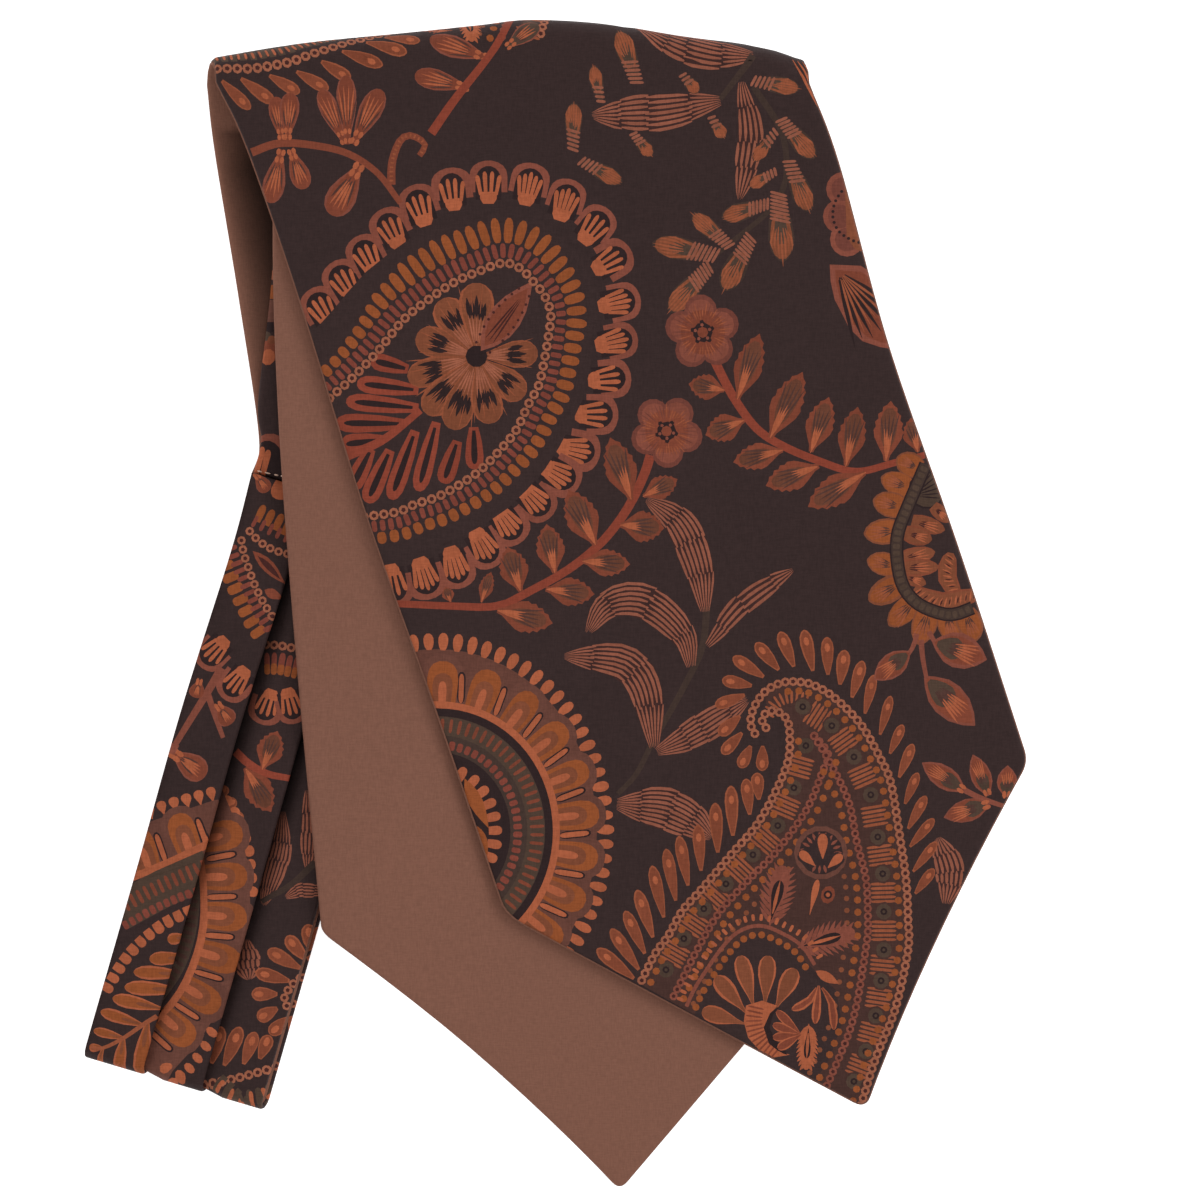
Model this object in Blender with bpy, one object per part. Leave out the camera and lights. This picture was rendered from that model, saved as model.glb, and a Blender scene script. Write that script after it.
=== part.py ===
"""A self-tie silk cravat, folded in half at its neckband, turned over a soft top fold and laid flat.

Two wide pointed blades, each of a printed shell and a plain lining, meet in a narrow neckband of
three knife pleats. Blade A lies on top with its print up. Blade B lies under it with its lining up.
Behind them both blades run down to the stitch that holds the pleats, and the neckband goes on from
there to its own fold at the lower left.

Every size is in millimetres and every mesh is made in metres. The cravat lies on the plane z = 0,
x to its right and y to its top, with the origin under the middle of its outline.
"""

import math
from collections import namedtuple

import bpy
import numpy as np

Spot = namedtuple("Spot", "x y")
Blade = namedtuple(
    "Blade", "back_left back_right crest slide front_left front_right tip hollow base pleats_lift"
)

MM = 0.001

# The cloths. Each is a wall of its own, and a blade is two of them.
CLOTH = 1.0
SEAM_GAP = 0.3
REST_GAP = 0.9
PAIR = 2 * CLOTH + SEAM_GAP
LAYER = PAIR + REST_GAP

# How the cloth lies over what is under it.
DRAPE_REACH = 52.0
CORNER_SOFTNESS = 6.0
EDGE_MARGIN = 4.0
FOLD_LOFT = 4.0
LOFT_REACH = 62.0
BLUNT_TIP = 0.012

# Behind, the pleats open out from the stitch to the top fold. Each is a shallow saw tooth.
PLEAT_RISE = 0.8
PLEAT_COLUMNS = (0.0, 0.22, 0.44, 0.66, 0.88)

# The neckband: knife pleats that fold the cloth in three, the whole band folded back on itself.
PLEATS = 3
PLEAT_WIDTH = 17.6
PLEAT_STEP = CLOTH + SEAM_GAP
TURN_RADIUS = PLEAT_STEP / 2
CLIMB_START = -0.2
CLIMB_END = 4.5
UNDERLAY_START = 5.2
BAND_HALF = 3 * CLOTH + 2.5 * SEAM_GAP
BAND_PEEK = 1.6
BAND_ACROSS = Spot(0.958, -0.285)

# Steps of the meshes.
CURVE_STEPS = 24
BACK_ROWS = 7
BEND_ROWS = 7
FRONT_ROWS = 22
POINT_ROWS = 7
BAND_ROWS = 6
CREST_STEPS = 60
TURN_STEPS = 4

# The line of stitches that ends the pleats, and the edges of the cloth from there.
STITCH_LEFT = Spot(-86.5, 37.5)
STITCH_RIGHT = Spot(-34.0, 22.0)
BAND_LEFT = (
    STITCH_LEFT,
    Spot(-92.3, 15.5),
    Spot(-106.6, -30.1),
    Spot(-119.4, -75.7),
    Spot(-134.7, -129.1),
)

# The blades, seen from above. Back edges are listed from the stitch up to the top fold, its crest
# from left to right, and front edges from the fold down to the corners of the point. slide is how
# far the slanted strip moves along the crest as it turns over, and hollow how far the left and
# right edges of the point curve in. base is the height of the blade's back, and pleats_lift the
# share of each pleat's saw tooth, and of its rise all over, that lifts it there.
BLADE_A = Blade(
    back_left=(STITCH_LEFT, Spot(-84.3, 47.5), Spot(-90.0, 86.8), Spot(-97.0, 129.5)),
    back_right=(STITCH_RIGHT, Spot(31.0, 106.0)),
    crest=(
        Spot(-99.2, 155.8),
        Spot(-73.0, 160.0),
        Spot(-44.0, 162.9),
        Spot(-23.0, 165.1),
        Spot(-8.7, 166.6),
        Spot(12.7, 165.4),
        Spot(34.0, 162.0),
        Spot(55.0, 159.2),
        Spot(68.8, 155.3),
    ),
    slide=3.0,
    front_left=(
        Spot(-87.4, 129.5),
        Spot(-72.5, 86.2),
        Spot(-53.7, 26.1),
        Spot(-33.5, -30.9),
        Spot(-14.0, -88.5),
    ),
    front_right=(
        Spot(80.4, 125.0),
        Spot(95.2, 72.5),
        Spot(115.0, 15.5),
        Spot(134.7, -44.9),
    ),
    tip=Spot(88.4, -143.6),
    hollow=(0.0, 3.0),
    base=0.0,
    pleats_lift=Spot(1, 0),
)
BLADE_B = Blade(
    back_left=(Spot(-86.0, 37.6), Spot(-84.8, 58.9), Spot(-80.8, 95.3)),
    back_right=(STITCH_RIGHT, Spot(21.0, 75.0)),
    crest=(Spot(-77.9, 152.0), Spot(-40.0, 156.5), Spot(0.0, 157.0), Spot(42.0, 147.0), Spot(75.0, 128.0)),
    slide=0.0,
    front_left=(Spot(-80.5, 109.6), Spot(-79.2, 60.0), Spot(-74.2, -10.1), Spot(-66.5, -93.3)),
    front_right=(Spot(81.0, 60.0), Spot(90.5, -82.8)),
    tip=Spot(18.4, -167.5),
    hollow=(3.6, 0.0),
    base=PAIR + SEAM_GAP,
    pleats_lift=Spot(-1, 2),
)


def smooth_line(spots, count):
    """count + 1 points, evenly spaced along a smooth curve through the spots."""
    knots = np.array([spots[0], *spots, spots[-1]], float)
    knots[0] = 2 * knots[1] - knots[2]
    knots[-1] = 2 * knots[-2] - knots[-3]
    fine = []
    for before, start, end, after in zip(knots, knots[1:], knots[2:], knots[3:]):
        for t in np.linspace(0, 1, CURVE_STEPS, endpoint=False):
            bend = (2 * before - 5 * start + 4 * end - after) * t * t
            twist = (3 * start - before - 3 * end + after) * t**3
            fine.append(0.5 * (2 * start + (end - before) * t + bend + twist))
    fine = np.array([*fine, knots[-2]])
    run = np.concatenate([[0], np.cumsum(np.linalg.norm(np.diff(fine, axis=0), axis=1))])
    wanted = np.linspace(0, run[-1], count + 1)
    return np.column_stack([np.interp(wanted, run, fine[:, axis]) for axis in (0, 1)])


def at_shares(line, shares):
    """Points at these shares of an evenly spaced line."""
    even = np.linspace(0, 1, len(line))
    return np.column_stack([np.interp(shares, even, line[:, axis]) for axis in (0, 1)])


def ease(t):
    """0 to 1 with level ends."""
    t = np.clip(t, 0.0, 1.0)
    return t * t * (3 - 2 * t)


def overhang(points, outline):
    """How far each point lies outside a convex outline whose corners run anticlockwise, corners rounded."""
    corners = np.array(outline, float)
    total = 0.0
    for start, end in zip(corners, np.roll(corners, -1, axis=0)):
        side = (end - start) / np.linalg.norm(end - start)
        away = (points - start) @ np.array([side[1], -side[0]])
        total = total + np.exp(away / CORNER_SOFTNESS)
    return CORNER_SOFTNESS * np.log(total) - EDGE_MARGIN


def holds_up(points, outline):
    """1 over the outline, falling softly to 0 as the cloth above comes down beside it."""
    return 1 - ease(overhang(points, outline) / DRAPE_REACH)


def band_outline():
    """The neckband's outline, seen from above."""
    left_end = np.array(BAND_LEFT[-1])
    across = np.array(BAND_ACROSS) * PLEATS * PLEAT_WIDTH
    return (STITCH_LEFT, left_end, left_end + across, STITCH_RIGHT)


def back_outline():
    """The outline of both blades' backs, from the stitch to the top fold."""
    crest = BLADE_A.crest
    return (STITCH_LEFT, STITCH_RIGHT, BLADE_B.crest[-1], crest[-1], crest[3], crest[0])


def front_outline(blade):
    """The outline of a blade's front, from the top fold to the tip."""
    return (
        blade.crest[0],
        blade.front_left[-1],
        blade.tip,
        blade.front_right[-1],
        blade.crest[-1],
        blade.crest[3],
    )


def loft(points):
    """The top fold stays open a little, so the cloth in front of it rises towards it."""
    crest_top = max(spot.y for spot in BLADE_A.crest)
    return FOLD_LOFT * (1 - ease((crest_top - points[..., 1]) / LOFT_REACH))


def under_blade_b(points):
    """Height of what blade B's front lies on: the backs of both blades, and the folded neckband."""
    backs = (2 * PAIR + SEAM_GAP + REST_GAP + PLEAT_RISE) * holds_up(points, back_outline())
    band = (2 * BAND_HALF + REST_GAP) * holds_up(points, band_outline())
    return (backs**4 + band**4) ** 0.25 + loft(points)


def under_blade_a(points):
    """Height of what blade A's front lies on: all of that, and blade B's front where it is there."""
    return under_blade_b(points) + LAYER * holds_up(points, front_outline(BLADE_B))


def columns_across():
    """Shares of the width at which the mesh has points: a few to each pleat, two close ones at its fold."""
    starts = [(number + within) / PLEATS for number in range(PLEATS) for within in PLEAT_COLUMNS]
    return np.array([*starts, 1.0])


def saw_tooth():
    """1 where a pleat comes out from under its neighbour, down to 0 at its own fold."""
    within = np.array(PLEAT_COLUMNS)
    return np.array([*np.tile(1 - within / within[-1], PLEATS), 0.0])


def rows_between(left, right, count):
    """Rows of points across a strip, from its left edge to its right one."""
    lefts, rights = smooth_line(left, count), smooth_line(right, count)
    share = columns_across()[None, :, None]
    return lefts[:, None, :] * (1 - share) + rights[:, None, :] * share


def point_rows(corner_row, tip, hollow):
    """The rows of the blade's point, whose two edges may be a little hollow."""
    rows = []
    for t in np.linspace(0, 1 - BLUNT_TIP, POINT_ROWS + 1)[1:]:
        row = corner_row + (tip - corner_row) * t
        across = (row[-1] - row[0]) / np.linalg.norm(row[-1] - row[0])
        inward = np.linspace(hollow[0], -hollow[1], len(row)) * 4 * t * (1 - t)
        rows.append(row + across * inward[:, None])
    return rows


def blade_surface(blade, under_front):
    """The seam surface between a blade's two cloths, and its outward direction at each point.

    Rows run across the blade, from the stitch up its back, round the top fold and down its front
    to the tip. Outward is down at the back, up at the front.
    """
    half = CLOTH + SEAM_GAP / 2
    back_level = blade.base + half
    crest = at_shares(smooth_line(blade.crest, CREST_STEPS), columns_across())
    chord = (crest[-1] - crest[0]) / np.linalg.norm(crest[-1] - crest[0])
    outward = np.array([-chord[1], chord[0]])
    radius = (under_front(crest) + half - back_level) / 2
    back_end = crest - outward * (radius + half)[:, None]
    front_start = back_end + chord * blade.slide

    back = rows_between((*blade.back_left, back_end[0]), (*blade.back_right, back_end[-1]), BACK_ROWS)
    nearness = np.linspace(0, 1, BACK_ROWS + 1)[:, None, None]
    back = back + (back_end - back[-1]) * nearness**2
    left, right = (front_start[0], *blade.front_left), (front_start[-1], *blade.front_right)
    front = rows_between(left, right, FRONT_ROWS)
    nearness = np.linspace(1, 0, FRONT_ROWS + 1)[:, None, None]
    front = front + (front_start - front[0]) * nearness**2

    rows = []
    for row, share in zip(back[:-1], np.linspace(0, 1, BACK_ROWS + 1)):
        lift = PLEAT_RISE * (1 - share) * (blade.pleats_lift.x * saw_tooth() + blade.pleats_lift.y)
        rows.append(np.column_stack([row, back_level + lift]))
    for turn in np.linspace(-math.pi / 2, math.pi / 2, BEND_ROWS + 1):
        slid = (1 + math.sin(turn)) / 2
        plan = back_end + chord * blade.slide * slid + outward * (radius * math.cos(turn))[:, None]
        rows.append(np.column_stack([plan, back_level + radius * (1 + math.sin(turn))]))
    for row in [*front[1:], *point_rows(front[-1], np.array(blade.tip), blade.hollow)]:
        rows.append(np.column_stack([row, under_front(row) + half]))
    surface = np.array(rows)
    normals = np.cross(np.gradient(surface, axis=1), np.gradient(surface, axis=0))
    normals /= np.linalg.norm(normals, axis=2, keepdims=True)
    normals[:BACK_ROWS] = (0, 0, 1)
    return surface, -normals


def add_node(name, points, faces, colour, roughness):
    """One closed solid with its own material."""
    mesh = bpy.data.meshes.new(name)
    mesh.from_pydata((np.asarray(points) * MM).tolist(), [], faces)
    mesh.validate()
    material = bpy.data.materials.new(name)
    material.use_nodes = True
    shader = material.node_tree.nodes["Principled BSDF"]
    shader.inputs["Base Color"].default_value = (*colour, 1)
    shader.inputs["Roughness"].default_value = roughness
    mesh.materials.append(material)
    mesh.shade_smooth()
    mesh.set_sharp_from_angle(angle=math.radians(50))
    solid = bpy.data.objects.new(name, mesh)
    bpy.context.scene.collection.objects.link(solid)
    return solid


def add_cloth(name, surface, outward, low, high, colour, roughness):
    """A wall of cloth that fills the space from low to high outward of the seam surface."""
    count, wide = surface.shape[:2]
    outer = (surface + outward * high).reshape(-1, 3)
    inner = (surface + outward * low).reshape(-1, 3)
    step = count * wide
    faces = []
    for row in range(count - 1):
        for column in range(wide - 1):
            a = row * wide + column
            b, c, d = a + 1, a + wide + 1, a + wide
            faces += [(a, d, c, b), (a + step, b + step, c + step, d + step)]
    edge = list(range(wide))
    edge += [row * wide + wide - 1 for row in range(1, count)]
    edge += [(count - 1) * wide + column for column in range(wide - 2, -1, -1)]
    edge += [row * wide for row in range(count - 2, 0, -1)]
    for a, b in zip(edge, [*edge[1:], edge[0]]):
        faces.append((a, b, b + step, a + step))
    return add_node(name, np.vstack([outer, inner]), faces, colour, roughness)


def turn_points(centre_x, centre_h, side):
    """The middle of a cloth as it turns down through half a circle, to the right (1) or left (-1)."""
    angles = np.linspace(math.pi / 2, -math.pi / 2, TURN_STEPS + 1)
    return [(centre_x + side * TURN_RADIUS * math.cos(a), centre_h + TURN_RADIUS * math.sin(a)) for a in angles]


def pleat_section():
    """The middle line of the pleated cloth across half the neckband, as (across, height) pairs."""
    low = SEAM_GAP / 2 + CLOTH / 2
    middle, top = low + PLEAT_STEP, low + 2 * PLEAT_STEP
    reach = TURN_RADIUS + CLOTH / 2
    line = [(0.0, top)]
    for number in range(PLEATS):
        start = number * PLEAT_WIDTH
        end = start + PLEAT_WIDTH
        hidden = start + (UNDERLAY_START if number else reach)
        line += turn_points(end - reach, (top + middle) / 2, 1)
        line += turn_points(hidden, (middle + low) / 2, -1)
        if number < PLEATS - 1:
            line += [(end + CLIMB_START, low), (end + CLIMB_END, top)]
        else:
            line.append((end - reach, low))
    return np.array(line)


def thicken(line):
    """The closed outline of a wall whose middle is the line."""
    ahead = np.diff(line, axis=0)
    ahead /= np.linalg.norm(ahead, axis=1, keepdims=True)
    before, after = np.vstack([ahead[:1], ahead]), np.vstack([ahead, ahead[-1:]])
    along = before + after
    along /= np.linalg.norm(along, axis=1, keepdims=True)
    normal = np.column_stack([-along[:, 1], along[:, 0]])
    mitre = CLOTH / 2 / np.sum(along * after, axis=1, keepdims=True)
    return np.vstack([line + normal * mitre, (line - normal * mitre)[::-1]])


def add_neckband(name, colour, roughness):
    """The pleated band: up from the stitch behind, round its lower fold and back up to the stitch."""
    ring = thicken(pleat_section())
    across = np.array([*BAND_ACROSS, 0.0])
    down = np.array([BAND_ACROSS.y, -BAND_ACROSS.x, 0.0])
    left = smooth_line(BAND_LEFT, BAND_ROWS)
    gap = np.array([down[0], down[1]]) * SEAM_GAP
    fold_line = left[-1] - down[:2] * BAND_HALF
    straight = [left[0] + gap, *left[1:-1]]
    up = np.array([0.0, 0.0, 1.0])
    peek = across[:2] * BAND_PEEK
    stations = [(spot + peek, -up) for spot in straight]
    for turn in np.linspace(-math.pi / 2, math.pi / 2, BEND_ROWS + 1):
        direction = down * math.cos(turn) + up * math.sin(turn)
        stations.append((fold_line + peek * (1 - math.sin(turn)) / 2, direction))
    stations += [(spot, up) for spot in reversed(straight)]
    points = []
    for spot, direction in stations:
        origin = np.array([*spot, BAND_HALF])
        points += [origin + across * along + direction * height for along, height in ring]

    size, rings = len(ring), len(stations)
    faces = []
    for row in range(rings - 1):
        for corner in range(size):
            a, b = row * size + corner, row * size + (corner + 1) % size
            faces.append((a, b, b + size, a + size))
    half = size // 2
    for corner in range(half - 1):
        a, b = corner, corner + 1
        c, d = size - 2 - corner, size - 1 - corner
        faces.append((a, d, c, b))
        last = (rings - 1) * size
        faces.append((a + last, b + last, c + last, d + last))
    return add_node(name, points, faces, colour, roughness)


PRINT_BROWN = (0.075, 0.030, 0.022)
LINING_BROWN = (0.200, 0.092, 0.068)
PRINT_SHEEN = 0.55
LINING_SHEEN = 0.75

for leftover in list(bpy.data.objects):
    bpy.data.objects.remove(leftover)

edge = SEAM_GAP / 2
surface_a, outward_a = blade_surface(BLADE_A, under_blade_a)
surface_b, outward_b = blade_surface(BLADE_B, under_blade_b)
add_cloth("blade_a_shell", surface_a, outward_a, edge, edge + CLOTH, PRINT_BROWN, PRINT_SHEEN)
add_cloth("blade_a_lining", surface_a, outward_a, -edge - CLOTH, -edge, LINING_BROWN, LINING_SHEEN)
add_cloth("blade_b_lining", surface_b, outward_b, edge, edge + CLOTH, LINING_BROWN, LINING_SHEEN)
add_cloth("blade_b_shell", surface_b, outward_b, -edge - CLOTH, -edge, PRINT_BROWN, PRINT_SHEEN)
add_neckband("neckband", PRINT_BROWN, PRINT_SHEEN)
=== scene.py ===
# %% [markdown]
# # A printed silk cravat, folded and laid flat
# The cravat is two wide pointed blades on a narrow pleated neckband. It is folded in half at the
# neckband, turned over a soft top fold and laid on a table. Every cloth is made as a real one is:
# it is cut flat, printed flat, and only then carried to its place on the folded form.

# %% Load the frame
import math
from collections import namedtuple

import bpy
import numpy as np
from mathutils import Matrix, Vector
from mathutils.geometry import delaunay_2d_cdt


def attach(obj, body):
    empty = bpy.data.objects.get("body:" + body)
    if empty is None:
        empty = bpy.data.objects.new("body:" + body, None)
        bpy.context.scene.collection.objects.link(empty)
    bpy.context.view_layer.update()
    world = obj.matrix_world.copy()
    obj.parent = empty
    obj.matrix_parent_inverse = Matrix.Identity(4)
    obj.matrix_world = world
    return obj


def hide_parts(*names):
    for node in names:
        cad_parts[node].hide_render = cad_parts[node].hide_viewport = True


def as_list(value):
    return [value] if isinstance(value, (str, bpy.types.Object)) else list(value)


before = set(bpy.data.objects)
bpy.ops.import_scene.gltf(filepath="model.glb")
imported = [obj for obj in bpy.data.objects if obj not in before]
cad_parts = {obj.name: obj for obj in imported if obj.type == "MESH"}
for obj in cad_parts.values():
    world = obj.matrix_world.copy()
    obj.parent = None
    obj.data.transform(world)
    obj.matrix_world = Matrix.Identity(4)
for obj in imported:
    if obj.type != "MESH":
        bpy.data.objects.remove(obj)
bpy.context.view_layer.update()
bpy.ops.object.select_all(action="DESELECT")
MM = 0.001
print("frame nodes:", sorted(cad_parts))

# %% [markdown]
# ## Table, camera and light
# A flat thing is best seen from straight above, through a long lens so that its edges stay true.
# The lens stands nearly two metres up. Large soft lamps on both sides and an even sky leave only
# faint shadows, so the weave and the folds show by themselves.

# %% Table, camera and light
VIEW_WIDTH = 342.3
VIEW_CENTRE = (12.7, 1.1)
VIEW_LEVEL = 6.0
LENS = 200.0
SENSOR = 36.0
TABLE_SIZE = 6.0
TABLE_LEVEL = -0.0002
TABLE_FINISH = (
    ("Base Color", (0.95, 0.95, 0.95, 1.0)),
    ("Emission Color", (1.0, 1.0, 1.0, 1.0)),
    ("Emission Strength", 0.7),
    ("Roughness", 0.9),
    ("Specular IOR Level", 0.1),
)
SKY_STRENGTH = 0.6

camera_data = bpy.data.cameras.new("view")
camera_data.lens = LENS
camera_data.sensor_width = SENSOR
camera = bpy.data.objects.new("view", camera_data)
camera_height = VIEW_WIDTH * LENS / SENSOR + VIEW_LEVEL
camera.location = (VIEW_CENTRE[0] * MM, VIEW_CENTRE[1] * MM, camera_height * MM)
bpy.context.scene.collection.objects.link(camera)
bpy.context.scene.camera = camera

bpy.ops.mesh.primitive_plane_add(size=TABLE_SIZE, location=(0.0, 0.0, TABLE_LEVEL))
table = bpy.context.object
table.name = "table"
table_finish = bpy.data.materials.new("white table")
table_finish.use_nodes = True
table_shader = table_finish.node_tree.nodes["Principled BSDF"]
for socket, value in TABLE_FINISH:
    table_shader.inputs[socket].default_value = value
table.data.materials.append(table_finish)

Lamp = namedtuple("Lamp", "name place size power")
LAMPS = (
    Lamp("lamp left", (-1.7, 0.3, 1.1), 0.9, 8.0),
    Lamp("lamp right", (1.6, 0.8, 1.2), 0.9, 18.0),
    Lamp("lamp front", (0.2, -1.4, 1.7), 1.5, 7.0),
)
for lamp in LAMPS:
    light = bpy.data.lights.new(lamp.name, "AREA")
    light.size = lamp.size
    light.energy = lamp.power
    holder = bpy.data.objects.new(lamp.name, light)
    holder.location = lamp.place
    holder.rotation_euler = (-Vector(lamp.place)).to_track_quat("-Z", "Y").to_euler()
    bpy.context.scene.collection.objects.link(holder)

sky = bpy.data.worlds.new("sky")
sky.use_nodes = True
sky.node_tree.nodes["Background"].inputs["Color"].default_value = (1.0, 1.0, 1.0, 1.0)
sky.node_tree.nodes["Background"].inputs["Strength"].default_value = SKY_STRENGTH
bpy.context.scene.world = sky
bpy.context.scene.view_settings.view_transform = "Standard"
print("camera height", round(camera_height), "mm")

# %% [markdown]
# ## The folded form
# The cloths follow the cravat's construction, so its sizes and its way of folding are given here
# again, in millimetres. A blade runs from the stitch up its back, round the top fold and down its
# front to the tip. The front lies over the backs and the folded neckband, and comes down softly
# beside them. A formula for the height is easier to change than a sculpted mesh, and every layer
# that uses it stays clear of the next.

# %% Sizes of the folded form
Blade = namedtuple(
    "Blade", "back_left back_right crest slide front_left front_right tip hollow base saw plain"
)


def spots(*numbers):
    """Points from a run of x and y in millimetres."""
    return np.reshape(np.array(numbers, float), (-1, 2))


CLOTH = 1.0
SEAM_GAP = 0.3
REST_GAP = 0.9
PAIR = 2 * CLOTH + SEAM_GAP
LAYER = PAIR + REST_GAP
HALF_PAIR = PAIR / 2
DRAPE_REACH = 52.0
CORNER_SOFTNESS = 6.0
EDGE_MARGIN = 4.0
FOLD_LOFT = 4.0
LOFT_REACH = 62.0
PLEATS = 3
PLEAT_RISE = 0.8
PLEAT_OVERLAP = 0.88
BAND_HALF = 3 * CLOTH + 2.5 * SEAM_GAP
BAND_ACROSS = np.array([0.958, -0.285])
BAND_WIDTH = 52.8
STITCH_LEFT = (-86.5, 37.5)
STITCH_RIGHT = (-34.0, 22.0)
BAND_LEFT = spots(*STITCH_LEFT, -92.3, 15.5, -106.6, -30.1, -119.4, -75.7, -134.7, -129.1)
BLADE_A = Blade(
    back_left=spots(*STITCH_LEFT, -84.3, 47.5, -90.0, 86.8, -97.0, 129.5),
    back_right=spots(*STITCH_RIGHT, 31.0, 106.0),
    crest=spots(
        -99.2, 155.8, -73.0, 160.0, -44.0, 162.9, -23.0, 165.1, -8.7, 166.6, 12.7, 165.4, 34.0, 162.0,
        55.0, 159.2, 68.8, 155.3,
    ),
    slide=3.0,
    front_left=spots(-87.4, 129.5, -72.5, 86.2, -53.7, 26.1, -33.5, -30.9, -14.0, -88.5),
    front_right=spots(80.4, 125.0, 95.2, 72.5, 115.0, 15.5, 134.7, -44.9),
    tip=np.array([88.4, -143.6]),
    hollow=(0.0, 3.0),
    base=0.0,
    saw=1,
    plain=0,
)
BLADE_B = Blade(
    back_left=spots(-86.0, 37.6, -83.9, 47.0, -84.8, 58.0, -80.8, 95.3),
    back_right=spots(*STITCH_RIGHT, 21.0, 75.0),
    crest=spots(-77.9, 152.0, -40.0, 156.5, 0.0, 157.0, 42.0, 147.0, 75.0, 128.0),
    slide=0.0,
    front_left=spots(-80.5, 109.6, -79.2, 60.0, -74.2, -10.1, -66.5, -93.3),
    front_right=spots(81.0, 60.0, 90.5, -82.8),
    tip=np.array([18.4, -167.5]),
    hollow=(3.6, 0.0),
    base=PAIR + SEAM_GAP,
    saw=-1,
    plain=2,
)


print("sizes ready, seen width of the neckband:", BAND_WIDTH, "mm")

# %% [markdown]
# ## Curves
# Almost every edge and stem is a smooth curve through a few spots. These helpers measure such a
# curve, look up places along it and turn directions to its side.

# %% Curves
CURVE_STEPS = 24


def running(line):
    """How far along a line each of its points is."""
    return np.concatenate([[0], np.cumsum(np.linalg.norm(np.diff(line, axis=0), axis=1))])


def look_up(wanted, run, line):
    """Points of a line at the wanted places, where run says how far along its own points are."""
    return np.stack([np.interp(wanted, run, line[:, axis]) for axis in (0, 1)], axis=-1)


def left_of(ahead):
    """The direction, or each of the directions, turned a quarter to the left."""
    return np.stack([-ahead[..., 1], ahead[..., 0]], axis=-1)


def units(rows):
    """Every row at length 1."""
    return rows / np.linalg.norm(rows, axis=1, keepdims=True)


def unit(vector):
    """The vector at length 1."""
    vector = np.array(vector, float)
    return vector / np.linalg.norm(vector)


def smooth_line(through, count):
    """count + 1 points, evenly spaced along a smooth curve through some points."""
    knots = np.array([through[0], *through, through[-1]], float)
    knots[0] = 2 * knots[1] - knots[2]
    knots[-1] = 2 * knots[-2] - knots[-3]
    fine = []
    for before, start, end, after in zip(knots, knots[1:], knots[2:], knots[3:]):
        for t in np.linspace(0, 1, CURVE_STEPS, endpoint=False):
            bend = (2 * before - 5 * start + 4 * end - after) * t * t
            twist = (3 * start - before - 3 * end + after) * t**3
            fine.append(0.5 * (2 * start + (end - before) * t + bend + twist))
    fine = np.array([*fine, knots[-2]])
    run = running(fine)
    return look_up(np.linspace(0, run[-1], count + 1), run, fine)


def line_length(line):
    """Length of a line of points."""
    return np.linalg.norm(np.diff(line, axis=0), axis=1).sum()


print("curves ready, length of the neckband's edge:", round(line_length(BAND_LEFT)), "mm")

# %% [markdown]
# ## Heights of the layers
# A layer that lies on others stands high over them and comes down in a soft slope beside them. The
# slope starts at the convex outline round what lies below.

# %% Heights
def ease(t):
    """0 to 1 with level ends."""
    t = np.clip(t, 0.0, 1.0)
    return t * t * (3 - 2 * t)


def overhang(points, outline):
    """How far each point lies outside a convex outline whose corners run anticlockwise."""
    corners = np.array(outline, float)
    total = 0.0
    for start, end in zip(corners, np.roll(corners, -1, axis=0)):
        side = (end - start) / np.linalg.norm(end - start)
        away = (points - start) @ np.array([side[1], -side[0]])
        total = total + np.exp(away / CORNER_SOFTNESS)
    return CORNER_SOFTNESS * np.log(total) - EDGE_MARGIN


def holds_up(points, outline):
    """1 over the outline, falling softly to 0 as the cloth above comes down beside it."""
    return 1 - ease(overhang(points, outline) / DRAPE_REACH)


def band_outline():
    """The neckband's outline, seen from above."""
    return (STITCH_LEFT, BAND_LEFT[-1], BAND_LEFT[-1] + BAND_ACROSS * BAND_WIDTH, STITCH_RIGHT)


def back_outline():
    """The outline of both blades' backs, from the stitch to the top fold."""
    crest = BLADE_A.crest
    return (STITCH_LEFT, STITCH_RIGHT, BLADE_B.crest[-1], crest[-1], crest[3], crest[0])


def front_outline(blade):
    """The outline of a blade's front, from the top fold to the tip."""
    ends = (blade.crest[0], blade.front_left[-1], blade.tip, blade.front_right[-1], blade.crest[-1])
    return (*ends, blade.crest[3])


def loft(points):
    """The top fold stays open a little, so the cloth in front of it rises towards it."""
    return FOLD_LOFT * (1 - ease((BLADE_A.crest[:, 1].max() - points[..., 1]) / LOFT_REACH))


def under_blade_b(points):
    """Height of what blade B's front lies on: the backs of both blades, and the folded neckband."""
    backs = (2 * PAIR + SEAM_GAP + REST_GAP + PLEAT_RISE) * holds_up(points, back_outline())
    band = (2 * BAND_HALF + REST_GAP) * holds_up(points, band_outline())
    return (backs**4 + band**4) ** 0.25 + loft(points)


def under_blade_a(points):
    """Height of what blade A's front lies on: all of that, and blade B's front where it is there."""
    return under_blade_b(points) + LAYER * holds_up(points, front_outline(BLADE_B))


print("heights ready, blade A over the crest:", np.round(under_blade_a(BLADE_A.crest), 1))

# %% [markdown]
# ## From the flat cloth to the fold
# On the real cravat the print runs unbroken from the front over the top fold and down the back. To
# get that, each blade is first laid out flat: its front lies where it is seen, and the rest carries
# on upwards past the fold. The function below rolls every flat point round the fold. Its three
# stretches are the front, which keeps its place and only takes a height, the bend, which is half a
# circle, and the back, which returns underneath.

# %% Rolling a flat blade round its fold
Fold = namedtuple("Fold", "blade under chord outward along start radius level left right")
MATCH_REACH = 14.0
CREST_STEPS = 60
BACK_STEPS = 40


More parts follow.
